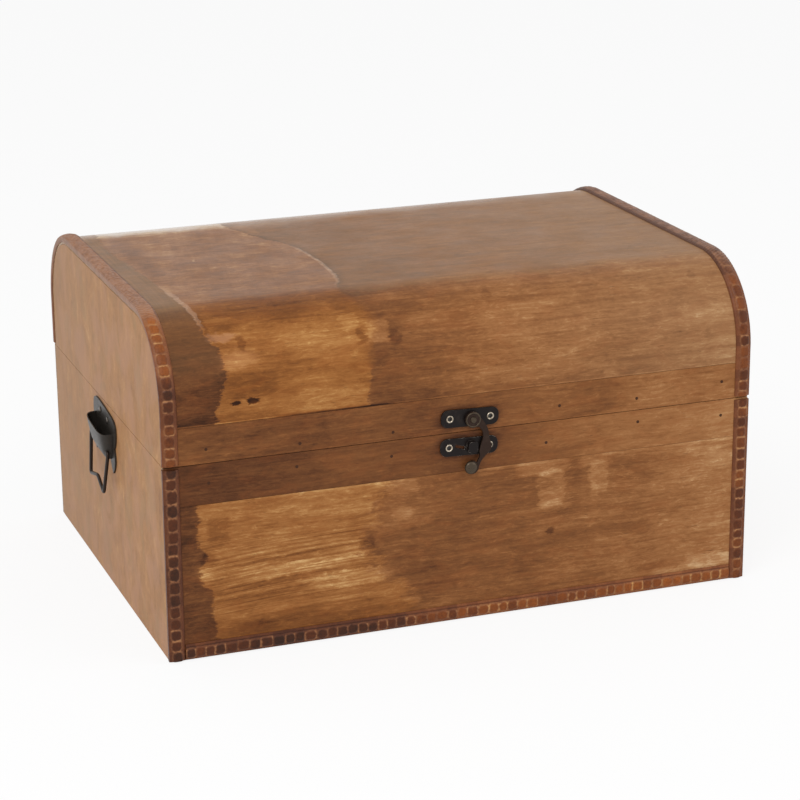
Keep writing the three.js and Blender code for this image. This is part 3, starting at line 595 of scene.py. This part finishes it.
def lid_look(name, seed):
    """The bent sheet: its stain has come off between two torn edges on the left."""
    look = Look(name)
    s = way_round(look)
    top = s.ease(90, 118)

    # The patch of bared wood: millimetres past its left and right edge
    along, _ = look.tear()
    torn = along * (s.ease(98, 62, 0.32, 1.0) + s.ease(188, 215, 0.0, 0.6))
    past_left = look.x + torn - s.curve(SHEET_LEFT)
    past_right = s.curve(SHEET_RIGHT) - (look.x + torn * 0.8)
    soft = s.ease(48, 40, 5, 0.9) * s.ease(84, 104, 1, 0.2)
    patch = past_left.ease(-0.8, 0.8) * (past_right / soft).ease(-1, 1)
    stained = 1 - patch

    # Light lips of torn wood along the edges, and painted shade beside them
    breaks = look.noise((7, 7, 7), 6.1, 5, roughness=0.7).ease(-0.02, 0.07)
    left_lip = (abs(past_left - 1.0).ease(2.1, 1.0) * (breaks * 0.45 + 0.55)
                * s.ease(74, 88) * s.ease(150, 106))
    right_lip = (abs(past_right).ease(1.6, 0.6) * (breaks * 0.55 + 0.45)
                 * s.ease(96, 128) * s.ease(222, 186))
    lips = look.larger(left_lip, right_lip)
    flap = look.patch(s, -144.5, -128.5, 66.5, 72, 1.2, 1.3, 2.5)
    scuff = look.patch(s, -139, -121, 50, 61, 2.5, 1.6, 2.2)
    shade = past_right.ease(-8, 0) * past_right.ease(0.4, -0.4) * top * -0.15
    # A thin painted shadow line just outside the right edge
    rim = past_right.ease(-2.2, -0.9) * past_right.ease(-0.1, -0.7) * top * -0.12
    under = past_left.ease(0.6, 1.4) * past_left.ease(5, 2.5) * s.ease(62, 70) * s.ease(92, 84) * -0.2

    # The tone of the stained and the bared wood
    plain = look.x.curve(SHEET_TONE) + top * look.x.curve(SHEET_TOP_CHANGE)
    tone = patch * s.curve(SHEET_BARE_TONE) + stained * plain + shade + rim + under
    tone = marked(look, tone, s, SHEET_MARKS)

    # The joint with the front rail stands open under the patch, with painted shadow in it
    joint = s.ease(22.6, 21.9)
    opened = look.x.ease(-118, -96) * look.x.ease(-36, -60)
    # The wood just above the closed joint is darker
    tone += s.ease(28, 23.5) * look.x.ease(-90, 60, -0.16, -0.07) * (1 - opened)
    # Painted highlight along the joint's edge, painted shadow in it where it stands open
    tone += joint * (opened * -0.6 + look.x.ease(-130, -60, 0.24, 0.08))
    # Painted shadow just above the open joint
    tone += opened * s.ease(24, 22.4) * -0.12

    # A paler band over the back shoulder: painted sheen
    tone += s.ease(250, 276) * s.ease(315, 290) * look.x.ease(70, -20, 0.05, 0.22)

    # Rubbed streaks and mottling on the top of the patch, wrinkled film left of it
    slanted = look.x + s * -TOP_SLANT
    rubbed = look.strokes(s, slanted, (70, 9), 5.7) * 0.35
    scratched = look.strokes(s, slanted, (60, 2.2), 9.7) * 0.12
    mottled = look.noise((20, 15, 15), 15.1, 6, roughness=0.72, warp=0.6) * 0.78
    tone += (rubbed + scratched + mottled) * patch * s.ease(94, 112)
    film = past_left.ease(1, -1) * s.ease(70, 110)
    tone += film * look.noise((1.3, 40, 40), 12.6, 3, roughness=0.6) * 0.7

    # Films of old finish, and painted sheen and glare over the back shoulder: share and colour
    uneven = s + look.noise((26, 26, 26), 8.8, 6, roughness=0.65) * 50
    film_start = s + look.noise((12, 9, 9), 3.8, 5) * 30
    facing_back = uneven.ease(318, 292)
    olive = past_left.ease(0.5, -1.5) * s.ease(38, 58) * s.ease(116, 92)
    dulled = patch * s.ease(96, 108) * uneven.ease(320, 300)
    aged = stained * film_start.ease(90, 102) * film_start.ease(330, 305)
    painted_sheen = uneven.ease(250, 280) * look.x.ease(120, -50, 0.1, 0.47) * facing_back
    painted_glare = patch * uneven.ease(260, 277) * facing_back
    tints = [
        (stained * look.x.ease(0, 160, 0.0, 0.2), (136, 116, 92)),
        (olive * 0.34, (120, 84, 52)),
        (flap * 0.42, (182, 132, 98)),
        (scuff * 0.25, (178, 122, 82)),
        (film * 0.26, (134, 106, 78)),
        (dulled * 0.26, (136, 106, 80)),
        (aged * 0.3, (148, 114, 72)),
        # Painted sheen and a painted glare along the back shoulder, where the white studio would
        # reflect
        (painted_sheen, (184, 164, 148)),
        (painted_glare * 0.8, (214, 201, 190)),
        (lips * 0.5, (202, 168, 140)),
    ]
    gold = patch * s.ease(104, 96) * 0.72
    relief = patch * -0.8 + lips * 0.8 + flap * 0.8
    shiny = s.ease(256, 272) * look.x.ease(165, 60, 0.35, 1.0)
    return brown_wood(look, tone, seed, relief=relief, rough=shiny * -0.22 + 0.42, gold=gold,
                      tints=tints)


def end_look(name, seed):
    """A pale end board, its grain upright, a little greyer towards the back."""
    look = Look(name)
    grains, layers = grain(look, seed, END_GRAIN)
    colour = (grains + 0.53).ramp([(0.0, 122, 78, 44), (0.35, 158, 111, 67),
                                   (0.65, 176, 128, 82), (1.0, 206, 164, 118)])
    pink = look.noise((22, 22, 30), seed + 12, 5, warp=0.6).ease(-0.06, 0.12)
    colour = look.mix(pink * 0.5, colour, paint(180, 134, 104))
    olive = look.noise((17, 17, 28), seed + 15, 5, warp=0.8).ease(0.02, 0.14)
    colour = look.mix(olive * 0.3, colour, paint(150, 122, 84))
    colour = look.mix(look.y.ease(-60, 125) * 0.35, colour, paint(166, 130, 100))
    marks = look.noise((2.6, 2.6, 9), seed + 9, 5).ease(0.17, 0.27)
    colour = look.mix(marks * 0.4, colour, paint(112, 72, 42))
    return look.finish(colour, layers["clouds"] * 0.15 + 0.48, layers["fine"], 0.05,
                       shine=WOOD_SHINE)


def bare_look(name, seed):
    """Unstained wood, for the inside."""
    look = Look(name)
    grains, fine, _ = wood_grain(look, seed)
    return look.finish((grains + 0.58).ramp(BARE), 0.7, fine, 0.1, shine=WOOD_SHINE)


def leather_look(name):
    """Scaled leather: dark scales, tan creases, plain brown margins and a faded plain stretch."""
    look = Look(name)
    tint = look.attribute("tint")
    flecks = look.noise((1.2, 1.2, 1.2), 2.2, 4, roughness=0.7)
    patches = look.noise((6, 6, 6), 4.4, 4)
    shade = tint + flecks * 0.4 + patches * 0.35
    scales = shade.ramp([(0.0, 50, 26, 13), (0.3, 88, 43, 18), (0.6, 134, 72, 28),
                         (1.0, 190, 112, 46)])
    margins = (shade + 0.04).ramp([(0.0, 72, 38, 24), (0.5, 116, 66, 38), (1.0, 166, 106, 62)])
    creases = (shade + patches * 0.6 + 0.1).ramp([(0.0, 150, 96, 62), (0.5, 184, 132, 86),
                                                  (1.0, 214, 164, 96)])
    plain = (patches * 0.9 + flecks * 0.9 + tint + 0.08).ramp([(0.15, 92, 58, 40),
                                                               (0.85, 156, 112, 84)])
    patchy = (flecks + patches * 0.8).ease(-0.25, 0.1, 0.35, 1.0)
    colour = look.mix(look.attribute("scale"), margins, scales)
    colour = look.mix(look.attribute("crease") * patchy, colour, creases)
    colour = look.mix(look.attribute("faded"), colour, plain)
    relief = flecks + look.noise((0.5, 0.5, 0.5), 6.6) * 0.5
    return look.finish(colour, flecks * 0.2 + 0.42, relief, 0.08, shine=LEATHER_SHINE)


def iron_look(name, dark, worn, metallic, roughness, wear, shine=0.5):
    """Black finish on iron, rubbed through in flecks to the worn colour."""
    look = Look(name)
    rubbed = look.noise((2.6, 2.6, 2.6), 1.1, 5, roughness=0.7).ease(0.22 - wear, 0.34 - wear)
    dust = look.noise((5, 5, 5), 3.3, 3).ease(0.0, 0.3)
    colour = look.mix(rubbed, paint(*dark), paint(*worn))
    colour = look.mix(dust * 0.08, colour, paint(120, 104, 90))
    gloss = look.noise((1.5, 1.5, 1.5), 5.5) * 0.3 + roughness
    relief = look.noise((0.9, 0.9, 0.9), 7.7, 3)
    return look.finish(colour, gloss, relief, 0.05, metallic=rubbed * (0.9 - metallic) + metallic,
                       shine=shine)


def eyelet_look(name):
    """Bright worn metal round a hollow painted dark as its shade, marked by the piece's own attribute.
    """
    look = Look(name)
    shaded_hollow = look.attribute("shaded_hollow")
    grime = look.noise((1.2, 1.2, 1.2), 2.9, 4).ease(-0.1, 0.2)
    colour = look.mix(grime * 0.75, paint(188, 176, 158), paint(78, 64, 52))
    # Painted shade: the hollow is dark
    colour = look.mix(shaded_hollow, colour, paint(22, 17, 15))
    relief = look.noise((0.7, 0.7, 0.7), 4.9)
    return look.finish(colour, grime * 0.2 + 0.24, relief, 0.04, metallic=0.9 - shaded_hollow * 0.9)


BODY_OF = {
    node: body
    for body, nodes in frame["record"]["behaviour"]["bodies"].items()
    for node in nodes
}


def in_scene(name, data):
    thing = bpy.data.objects.new(name, data)
    bpy.context.scene.collection.objects.link(thing)
    return thing


def place_piece(name, mesh, look, body, nodes):
    """A new piece that rides on a body and stands for the given nodes."""
    piece = in_scene(name, mesh)
    mesh.materials.append(look)
    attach(piece, body)
    if nodes:
        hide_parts(*nodes)


def dress(node, look, edge=0.0, smooth=30, edge_look=None, coat=0.0):
    """Gives a CAD node its look; modifiers join its faces, soften its edges and add a coat."""
    piece = frame["nodes"][node]
    mesh = piece.data
    mesh.materials.clear()
    mesh.materials.append(look)
    if "custom_normal" in mesh.attributes:
        mesh.attributes.remove(mesh.attributes["custom_normal"])
    mesh.shade_smooth()
    change = piece.modifiers.new
    set_up(change("weld", "WELD"), merge_threshold=WELD)
    if coat:
        set_up(change("coat", "DISPLACE"), strength=coat * MM, mid_level=0.0)
    set_up(change("flats", "DECIMATE"), decimate_type="DISSOLVE", angle_limit=FLAT_ANGLE)
    if not edge:
        set_up(change("split", "EDGE_SPLIT"), split_angle=math.radians(smooth))
        return
    bevel = set_up(change("edge", "BEVEL"), width=edge * MM, segments=2, limit_method="ANGLE",
                   angle_limit=BEVEL_ANGLE, harden_normals=True)
    if edge_look is not None:
        mesh.materials.append(edge_look)
        bevel.material = 1


def closed_mesh(name, points, faces, values):
    """A smooth mesh from points in millimetres, with a number per point for each of the values."""
    mesh = bpy.data.meshes.new(name)
    mesh.from_pydata([tuple(c * MM for c in point) for point in points], [], faces)
    shape = bmesh.new()
    shape.from_mesh(mesh)
    bmesh.ops.recalc_face_normals(shape, faces=shape.faces)
    shape.to_mesh(mesh)
    shape.free()
    for key, numbers in values.items():
        mesh.attributes.new(key, "FLOAT", "POINT").data.foreach_set("value", numbers)
    mesh.shade_smooth()
    mesh.set_sharp_from_angle(angle=SHARP_ANGLE)
    return mesh


def smooth_step(value, start, end):
    share = min(1.0, max(0.0, (value - start) / (end - start)))
    return share * share * (3 - 2 * share)


def follow(value, points):
    """Straight lines through (value, result) points."""
    for (a, low), (b, high) in zip(points, points[1:]):
        if value <= b:
            return low + (high - low) * max(0.0, (value - a) / (b - a))
    return points[-1][1]


def wavy(x, y, z):
    return noise.noise(Vector((x, y, z)))


class Scales:
    """Rows of raised scales along a strip, each a little different."""

    def __init__(self, start, end, pitch, dice):
        self.edges = [start]
        while self.edges[-1] < end:
            self.edges.append(self.edges[-1] + pitch * dice.uniform(0.86, 1.14))
        self.shapes = [(dice.uniform(2.4, 5.5), dice.uniform(-0.35, 0.35), dice.uniform(-1, 1),
                        dice.choice((0.15, 0.35, 0.6, 0.9, 1.0)))
                       for _ in self.edges]
        self.row = 0

    def at(self, along, across):
        """How far a point is raised (1) and creased (1), how bright its crease and how light it is."""
        if along < self.edges[self.row]:
            self.row = 0
        while self.row < len(self.edges) - 2 and along > self.edges[self.row + 1]:
            self.row += 1
        low, high = self.edges[self.row], self.edges[self.row + 1]
        square, lean, light, gleam = self.shapes[self.row]
        half = (high - low) / 2 - SCALE_CREASE / 2
        uneven = wavy(along * 0.45, across * 0.6, 9.0)
        up = abs(along - (low + high) / 2 + 0.5 * uneven) / half
        side = abs(across - SCALE_CENTRE - lean - 0.4 * uneven) / SCALE_HALF_WIDTH
        far = (up ** square + side ** square) ** (1 / square)
        between = up / max(up + side, 0.001)
        gleam *= 0.25 + 0.75 * smooth_step(between, 0.42, 0.6)
        crease = math.exp(-((far - CREASE_AT) / CREASE_REACH) ** 2)
        return 1 - smooth_step(far, *SCALE_SLOPE), crease, crease * gleam, 0.12 * light


class Ribbon:
    """A strip's sections, one ring of points each, with the numbers per point that its look reads."""

    def __init__(self):
        self.rings = []
        self.values = {"scale": [], "crease": [], "tint": [], "faded": []}

    def add(self, ring, values):
        self.rings.append(ring)
        for key, numbers in zip(self.values, zip(*values)):
            self.values[key] += numbers

    def mesh(self, name):
        """A closed mesh through the rings, with a face over each end."""
        count = len(self.rings[0])
        faces = []
        for start in range(0, (len(self.rings) - 1) * count, count):
            for i in range(count):
                a, b = start + i, start + (i + 1) % count
                faces.append((a, b, b + count, a + count))
        faces.append(tuple(range(count)))
        faces.append(tuple(range((len(self.rings) - 1) * count, len(self.rings) * count)))
        points = [point for ring in self.rings for point in ring]
        return closed_mesh(name, points, faces, self.values)


def fold(way, side, height, scales, tint, fade, depth):
    """One section of leather folded over an end's edge, as rows of (inward, outward, scale, crease,
    tint, faded); it is plain and braided where it is faded."""
    outer = -GLUE_GAP - TRIM_EDGE
    plain = (0.0, 0.0, tint, fade)
    rows = [(-GLUE_GAP, -depth, *plain)]
    for i in range(LEG_POINTS):
        share = i / LEG_POINTS
        thin = 0.35 * (1 - smooth_step(share, 0, 0.5))
        wobble = 0.08 * wavy(way * 0.25, share * 3, side)
        rows.append((outer + thin + wobble, (share - 1) * depth, *plain))
    for i in range(DOME_POINTS + 1):
        share = i / DOME_POINTS
        inward = outer + share * (TRIM_WIDTH - outer)
        rise = math.sin(math.pi * min(share, 0.995)) ** 0.7 * (height - TRIM_EDGE)
        raised, crease, bright, light = scales.at(way, inward)
        braid = math.sin(2 * math.pi * (way + 0.6 * inward) / BRAID_PITCH)
        wrinkle = wavy(inward * 0.35, way * 1.1, side * 3.0)
        outward = GLUE_GAP + TRIM_EDGE * (1 - smooth_step(share, 0.93, 1.0)) + rise
        outward += (1 - fade) * (SCALE_RISE * raised - CREASE_DEPTH * crease - 0.18)
        outward += fade * (0.2 * wrinkle + 0.12 * braid) + 0.05 * wavy(inward, way, side)
        shade = light + fade * (0.1 * braid - 0.5 * smooth_step(inward, 6.8, 7.6))
        rows.append((inward, max(outward, GLUE_GAP + 0.02), raised, bright, tint + shade, fade))
    return rows + [(TRIM_WIDTH, GLUE_GAP, *plain), (-GLUE_GAP, GLUE_GAP, *plain)]


def foot_section(x, scales, tint):
    """One section of the strip along the foot: rows of (up, outward, scale, crease, tint, faded)."""
    plain = (0.0, 0.0, tint, 0.0)
    rows = [(FLOOR_CLEARANCE, GLUE_GAP, *plain)]
    for i in range(DOME_POINTS + 1):
        share = i / DOME_POINTS
        up = FLOOR_CLEARANCE + share * (BOTTOM_TRIM_HEIGHT - FLOOR_CLEARANCE)
        rise = math.sin(math.pi * share) ** 0.7 * (BOTTOM_TRIM_RISE - TRIM_EDGE)
        raised, crease, bright, light = scales.at(x, up - FLOOR_CLEARANCE)
        groove = math.exp(-((up - BOTTOM_GROOVE) / 0.35) ** 2)
        outward = GLUE_GAP + (TRIM_EDGE + rise) * 0.8
        outward += SCALE_RISE * raised - CREASE_DEPTH * crease - 0.35 * groove
        shade = light - 0.3 * groove
        rows.append((up, max(outward, GLUE_GAP + 0.05), raised, bright, tint + shade, 0.0))
    return rows + [(BOTTOM_TRIM_HEIGHT, GLUE_GAP, *plain)]


def add_ribbon(node, ribbon, look):
    name = node + "_leather"
    place_piece(name, ribbon.mesh(name), look, BODY_OF[node], [node])


def add_strip(node, look, path, side, height, scales, tints, fades, leg):
    """Leather folded over the edge of an end; its tints and fades are (way, share) points."""
    ribbon = Ribbon()
    for way, y, z, out_y, out_z in path:
        rows = fold(way, side, height, scales, follow(way, tints), follow(way, fades), leg(way))
        ring = [(side * (HALF_WIDTH - inward), y + outward * out_y, z + outward * out_z)
                for inward, outward, *_ in rows]
        ribbon.add(ring, [row[2:] for row in rows])
    add_ribbon(node, ribbon, look)


def add_foot_strip(node, look, dice):
    """The leather strip along the foot of the front: thick scales below a plain margin."""
    reach = HALF_WIDTH - TRIM_WIDTH - TRIM_BUTT_GAP
    scales = Scales(-reach, reach, BOTTOM_PITCH, dice)
    count = round(2 * reach / TRIM_STEP)
    ribbon = Ribbon()
    for i in range(count + 1):
        x = -reach + 2 * reach * i / count
        rows = foot_section(x, scales, follow(x, FOOT_TINTS))
        ribbon.add([(x, -HALF_DEPTH - outward, up) for up, outward, *_ in rows],
                   [row[2:] for row in rows])
    add_ribbon(node, ribbon, look)


def lid_path():
    """Places over the lid from front to back: (way, y, z, and the outward direction's y and z)."""
    low = ARC_Z - LID_BOTTOM - TRIM_SETBACK
    turn = SHOULDER * math.pi / 2
    total = 2 * (low + turn + ARC_Y)
    count = round(total / TRIM_STEP)
    path = []
    for i in range(count + 1):
        way = total * i / count
        side = -1 if way < total / 2 else 1
        rest = min(way, total - way)
        angle = min(max(0.0, rest - low), turn) / SHOULDER
        out_y, out_z = math.cos(angle), math.sin(angle)
        y = ARC_Y + SHOULDER * out_y - max(0.0, rest - low - turn)
        z = ARC_Z + SHOULDER * out_z - max(0.0, low - rest)
        path.append((way, side * y, z, side * out_y, out_z))
    return path


def corner_path():
    """The same down the front corner of the base."""
    low, high = FLOOR_CLEARANCE, BASE_HEIGHT - TRIM_SETBACK
    count = round((high - low) / TRIM_STEP)
    ways = [(high - low) * i / count for i in range(count + 1)]
    return [(way, -HALF_DEPTH, high - way, -1.0, 0.0) for way in ways]


def torn_leg(way):
    """How far the left lid strip reaches over the end board; it is torn along the top."""
    ragged = 1.6 * abs(wavy(way * 0.16, 3.0, 1.0)) + 0.8 * abs(wavy(way * 0.6, 5.0, 2.0))
    return TRIM_LEG - 0.5 + ragged * smooth_step(way, 95, 115) * (1 - smooth_step(way, 265, 285))


def straight_leg(way):
    return TRIM_LEG + 0.15 * wavy(way * 0.2, 7.0, 4.0)


def lathe(profile, sides):
    """Points and faces of a turned form: (radius, height) pairs end on the axis or where they start."""
    points = []
    rings = []
    for radius, height in profile:
        if rings and (radius, height) == profile[0]:
            rings.append(rings[0])
            continue
        turns = [2 * math.pi * i / sides for i in range(sides if radius else 1)]
        rings.append([len(points) + i for i in range(len(turns))])
        points += [(radius * math.cos(turn), radius * math.sin(turn), height) for turn in turns]
    faces = []
    for below, above in zip(rings, rings[1:]):
        for i in range(sides):
            corners = [ring[k % len(ring)] for ring, k in
                       ((below, i), (below, (i + 1) % sides), (above, (i + 1) % sides), (above, i))]
            faces.append(tuple(dict.fromkeys(corners)))
    return points, faces


def turned(name, profile, spots, look, body, nodes, sides=24, shaded_hollow=0.0):
    """Turned forms that stand out of the front at (x, out, z) spots, with painted shade inside
    shaded_hollow.
    """
    points = []
    faces = []
    inside = []
    shape_points, shape_faces = lathe(profile, sides)
    for x, out, z in spots:
        start = len(points)
        points += [(x + a, -HALF_DEPTH - out - height, z + b) for a, b, height in shape_points]
        faces += [tuple(start + i for i in face) for face in shape_faces]
        inside += [float(math.hypot(a, b) < shaded_hollow) for a, b, _ in shape_points]
    mesh = closed_mesh(name, points, faces, {"shaded_hollow": inside})
    place_piece(name, mesh, look, body, nodes)


def middle(node):
    """The middle of a solid's box, in millimetres."""
    low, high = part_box(node)
    return (low + high) / 2 / MM


def add_eyelets(look):
    for plate in ("upper", "lower"):
        for side in ("left", "right"):
            node = f"latch_{plate}_screw_{side}"
            spot = middle(node)
            turned(node + "_eyelet", EYELET, [(spot.x, LATCH_FACE, spot.z)], look, BODY_OF[node],
                   [node], shaded_hollow=EYELET_HOLLOW)


def add_hook_forms(look):
    """The rim round the hook's head and the dome on its knob."""
    low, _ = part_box("latch_hook")
    pivot = middle("latch_rivet")
    rim = (pivot.x, HOOK_FACE, pivot.z)
    knob = (pivot.x + KNOB_SHIFT[0], -HALF_DEPTH - low.y / MM, pivot.z + KNOB_SHIFT[1])
    for name, profile, spot in (("rim", HEAD_RIM, rim), ("knob", KNOB_DOME, knob)):
        turned("latch_hook_" + name, profile, [spot], look, "latch_arm", [], sides=40)


def add_nails(look):
    for body, spots in (("lid", LID_NAILS), ("base", BASE_NAILS)):
        turned(body + "_front_nails", NAIL, [(x, 0, z) for x, z in spots], look, body,
               [], sides=12)


def add_boards():
    back = plain_front_look("back_wood", 57.0, BACK_TONE)
    looks = {
        "base_front_panel": base_front_look("front_panel_wood", 11.0),
        "base_front_rail": plain_front_look("front_rail_wood", 23.0, FRONT_RAIL_TONE,
                                            "latch_lower_plate", lively=0.72),
        "lid_front_rail": plain_front_look("lid_rail_wood", 31.0, LID_RAIL_TONE,
                                           "latch_upper_plate", lively=0.9),
        "lid_sheet": lid_look("lid_sheet_wood", 43.0),
        "base_back_panel": back,
        "base_back_rail": back,
        "lid_back_rail": back,
    }
    for node, look in looks.items():
        dress(node, look, edge=BOARD_EDGE)
    for side, seed in (("left", 5.0), ("right", 17.0)):
        look = end_look(side + "_end_wood", seed)
        dress("base_end_" + side, look)
        dress("lid_end_" + side, look)
    bare = bare_look("inner_wood_bare", 71.0)
    for node in BODY_OF:
        if node == "base_bottom" or node.endswith("batten"):
            dress(node, bare, edge=HIDDEN_BOARD_EDGE)


def add_leather(dice):
    leather = leather_look("edging_leather")
    path = lid_path()
    end = path[-1][0]
    add_strip("lid_trim_left", leather, path, -1, LID_TRIM_HEIGHT,
              Scales(-2, end, SCALE_PITCH, dice),
              [(0, 0.42), (18, 0.4), (26, 0.2), (44, 0.2), (54, 0.5), (80, 0.68), (end, 0.5)],
              [(0, 0), (82, 0), (92, 1), (end - 60, 1), (end - 40, 0.3), (end, 0)], torn_leg)
    add_strip("lid_trim_right", leather, path, 1, LID_TRIM_HEIGHT,
              Scales(-3, end, SCALE_PITCH, dice),
              [(0, 0.38), (60, 0.36), (90, 0.3), (end, 0.4)],
              [(0, 0), (66, 0), (90, 0.85), (end - 60, 0.85), (end - 40, 0.3), (end, 0)],
              straight_leg)
    path = corner_path()
    add_strip("corner_trim_left", leather, path, -1, CORNER_TRIM_HEIGHT,
              Scales(-3, BASE_HEIGHT, LEFT_CORNER_PITCH, dice), [(0, 0.16)], [(0, 0)], straight_leg)
    add_strip("corner_trim_right", leather, path, 1, CORNER_TRIM_HEIGHT,
              Scales(-1, BASE_HEIGHT, RIGHT_CORNER_PITCH, dice), [(0, 0.36)], [(0, 0)], straight_leg)
    add_foot_strip("bottom_trim", leather, dice)


def add_metal():
    metals = {name: iron_look(name, *values) for name, values in METALS.items()}
    # The bevels of plates, hook and handle take worn metal painted brighter as glints
    for node in ("latch_upper_plate", "latch_lower_plate"):
        dress(node, metals["black_iron"], edge=PLATE_EDGE, edge_look=metals["black_iron_glint_edge"])
    dress("latch_hook", metals["bronzed_iron"], edge=HOOK_EDGE,
          edge_look=metals["bronzed_iron_glint_edge"])
    dress("latch_rivet", metals["knob_iron"])
    for node in BODY_OF:
        if node.startswith("handle_plate"):
            dress(node, metals["grey_iron"], edge=HANDLE_EDGE, edge_look=metals["grey_iron_glint_edge"])
        elif node.startswith("handle_bail"):
            dress(node, metals["brown_wire"], smooth=60, coat=WIRE_COAT)
        elif node.startswith(("handle_screw", "hinge_base_screw", "hinge_lid_screw")):
            dress(node, metals["worn_steel"])
        elif node.startswith("hinge"):
            dress(node, metals["aged_brass"], edge=HINGE_EDGE)
    add_eyelets(eyelet_look("eyelet_metal"))
    add_hook_forms(metals["knob_iron"])
    add_nails(metals["rusted_nail"])


def add_world():
    """An even white studio, brighter to look at than as a light."""
    world = bpy.data.worlds.new("studio")
    bpy.context.scene.world = world
    nodes = Nodes(world)
    strength = nodes.seen_directly() * (SEEN_WHITE - WORLD_LIGHT) + WORLD_LIGHT
    light = nodes.value("Background", {"Color": (1, 1, 1, 1), "Strength": strength})
    nodes.node("OutputWorld", {0: light})


def add_floor():
    """A pale matt floor that looks nearly as white as the studio round it."""
    look = bpy.data.materials.new("studio_floor")
    nodes = Nodes(look)
    share = nodes.seen_directly() * FLOOR_SEEN_SHARE
    matt = nodes.value("BsdfDiffuse", {"Color": (FLOOR_GREY, FLOOR_GREY, FLOOR_GREY, 1)})
    white = nodes.value("Emission", {"Strength": SEEN_WHITE})
    mixed = nodes.value("MixShader", {0: share, 1: matt, 2: white})
    nodes.node("OutputMaterial", {0: mixed})
    mesh = bpy.data.meshes.new("floor")
    corners = [(-1, -1), (1, -1), (1, 1), (-1, 1)]
    mesh.from_pydata([(x * FLOOR_REACH, y * FLOOR_REACH, 0) for x, y in corners], [], [(0, 1, 2, 3)])
    mesh.materials.append(look)
    floor = in_scene("floor", mesh)
    floor.location.z = -FLOOR_DROP


def add_lamp(name, place, size, power):
    """A square soft lamp that faces the trunk."""
    lamp = in_scene(name, set_up(bpy.data.lights.new(name, "AREA"), size=size, energy=power))
    lamp.location = place
    aim = Vector(LAMP_AIM) - Vector(place)
    lamp.rotation_euler = aim.to_track_quat("-Z", "Y").to_euler()


def add_camera():
    turn = math.radians(CAMERA_TURN)
    drop = math.radians(CAMERA_DROP)
    roll = math.radians(CAMERA_ROLL)
    back = Vector((math.sin(turn) * math.cos(drop), -math.cos(turn) * math.cos(drop), math.sin(drop)))
    level = (-back).cross(Vector((0, 0, 1))).normalized()
    upright = back.cross(level)
    right = math.cos(roll) * level + math.sin(roll) * upright
    up = math.cos(roll) * upright - math.sin(roll) * level
    place = Matrix((right, up, back)).transposed().to_4x4()
    place.translation = Vector(CAMERA_PLACE) * MM
    lens = set_up(bpy.data.cameras.new("camera"), lens=CAMERA_LENS, sensor_width=36, clip_end=50)
    camera = in_scene("camera", lens)
    camera.matrix_world = place
    bpy.context.scene.camera = camera


bpy.context.scene.view_settings.view_transform = "Standard"
add_camera()
add_world()
add_floor()
for lamp in LAMPS:
    add_lamp(*lamp)
add_boards()
add_leather(random.Random(RANDOM_SEED))
add_metal()
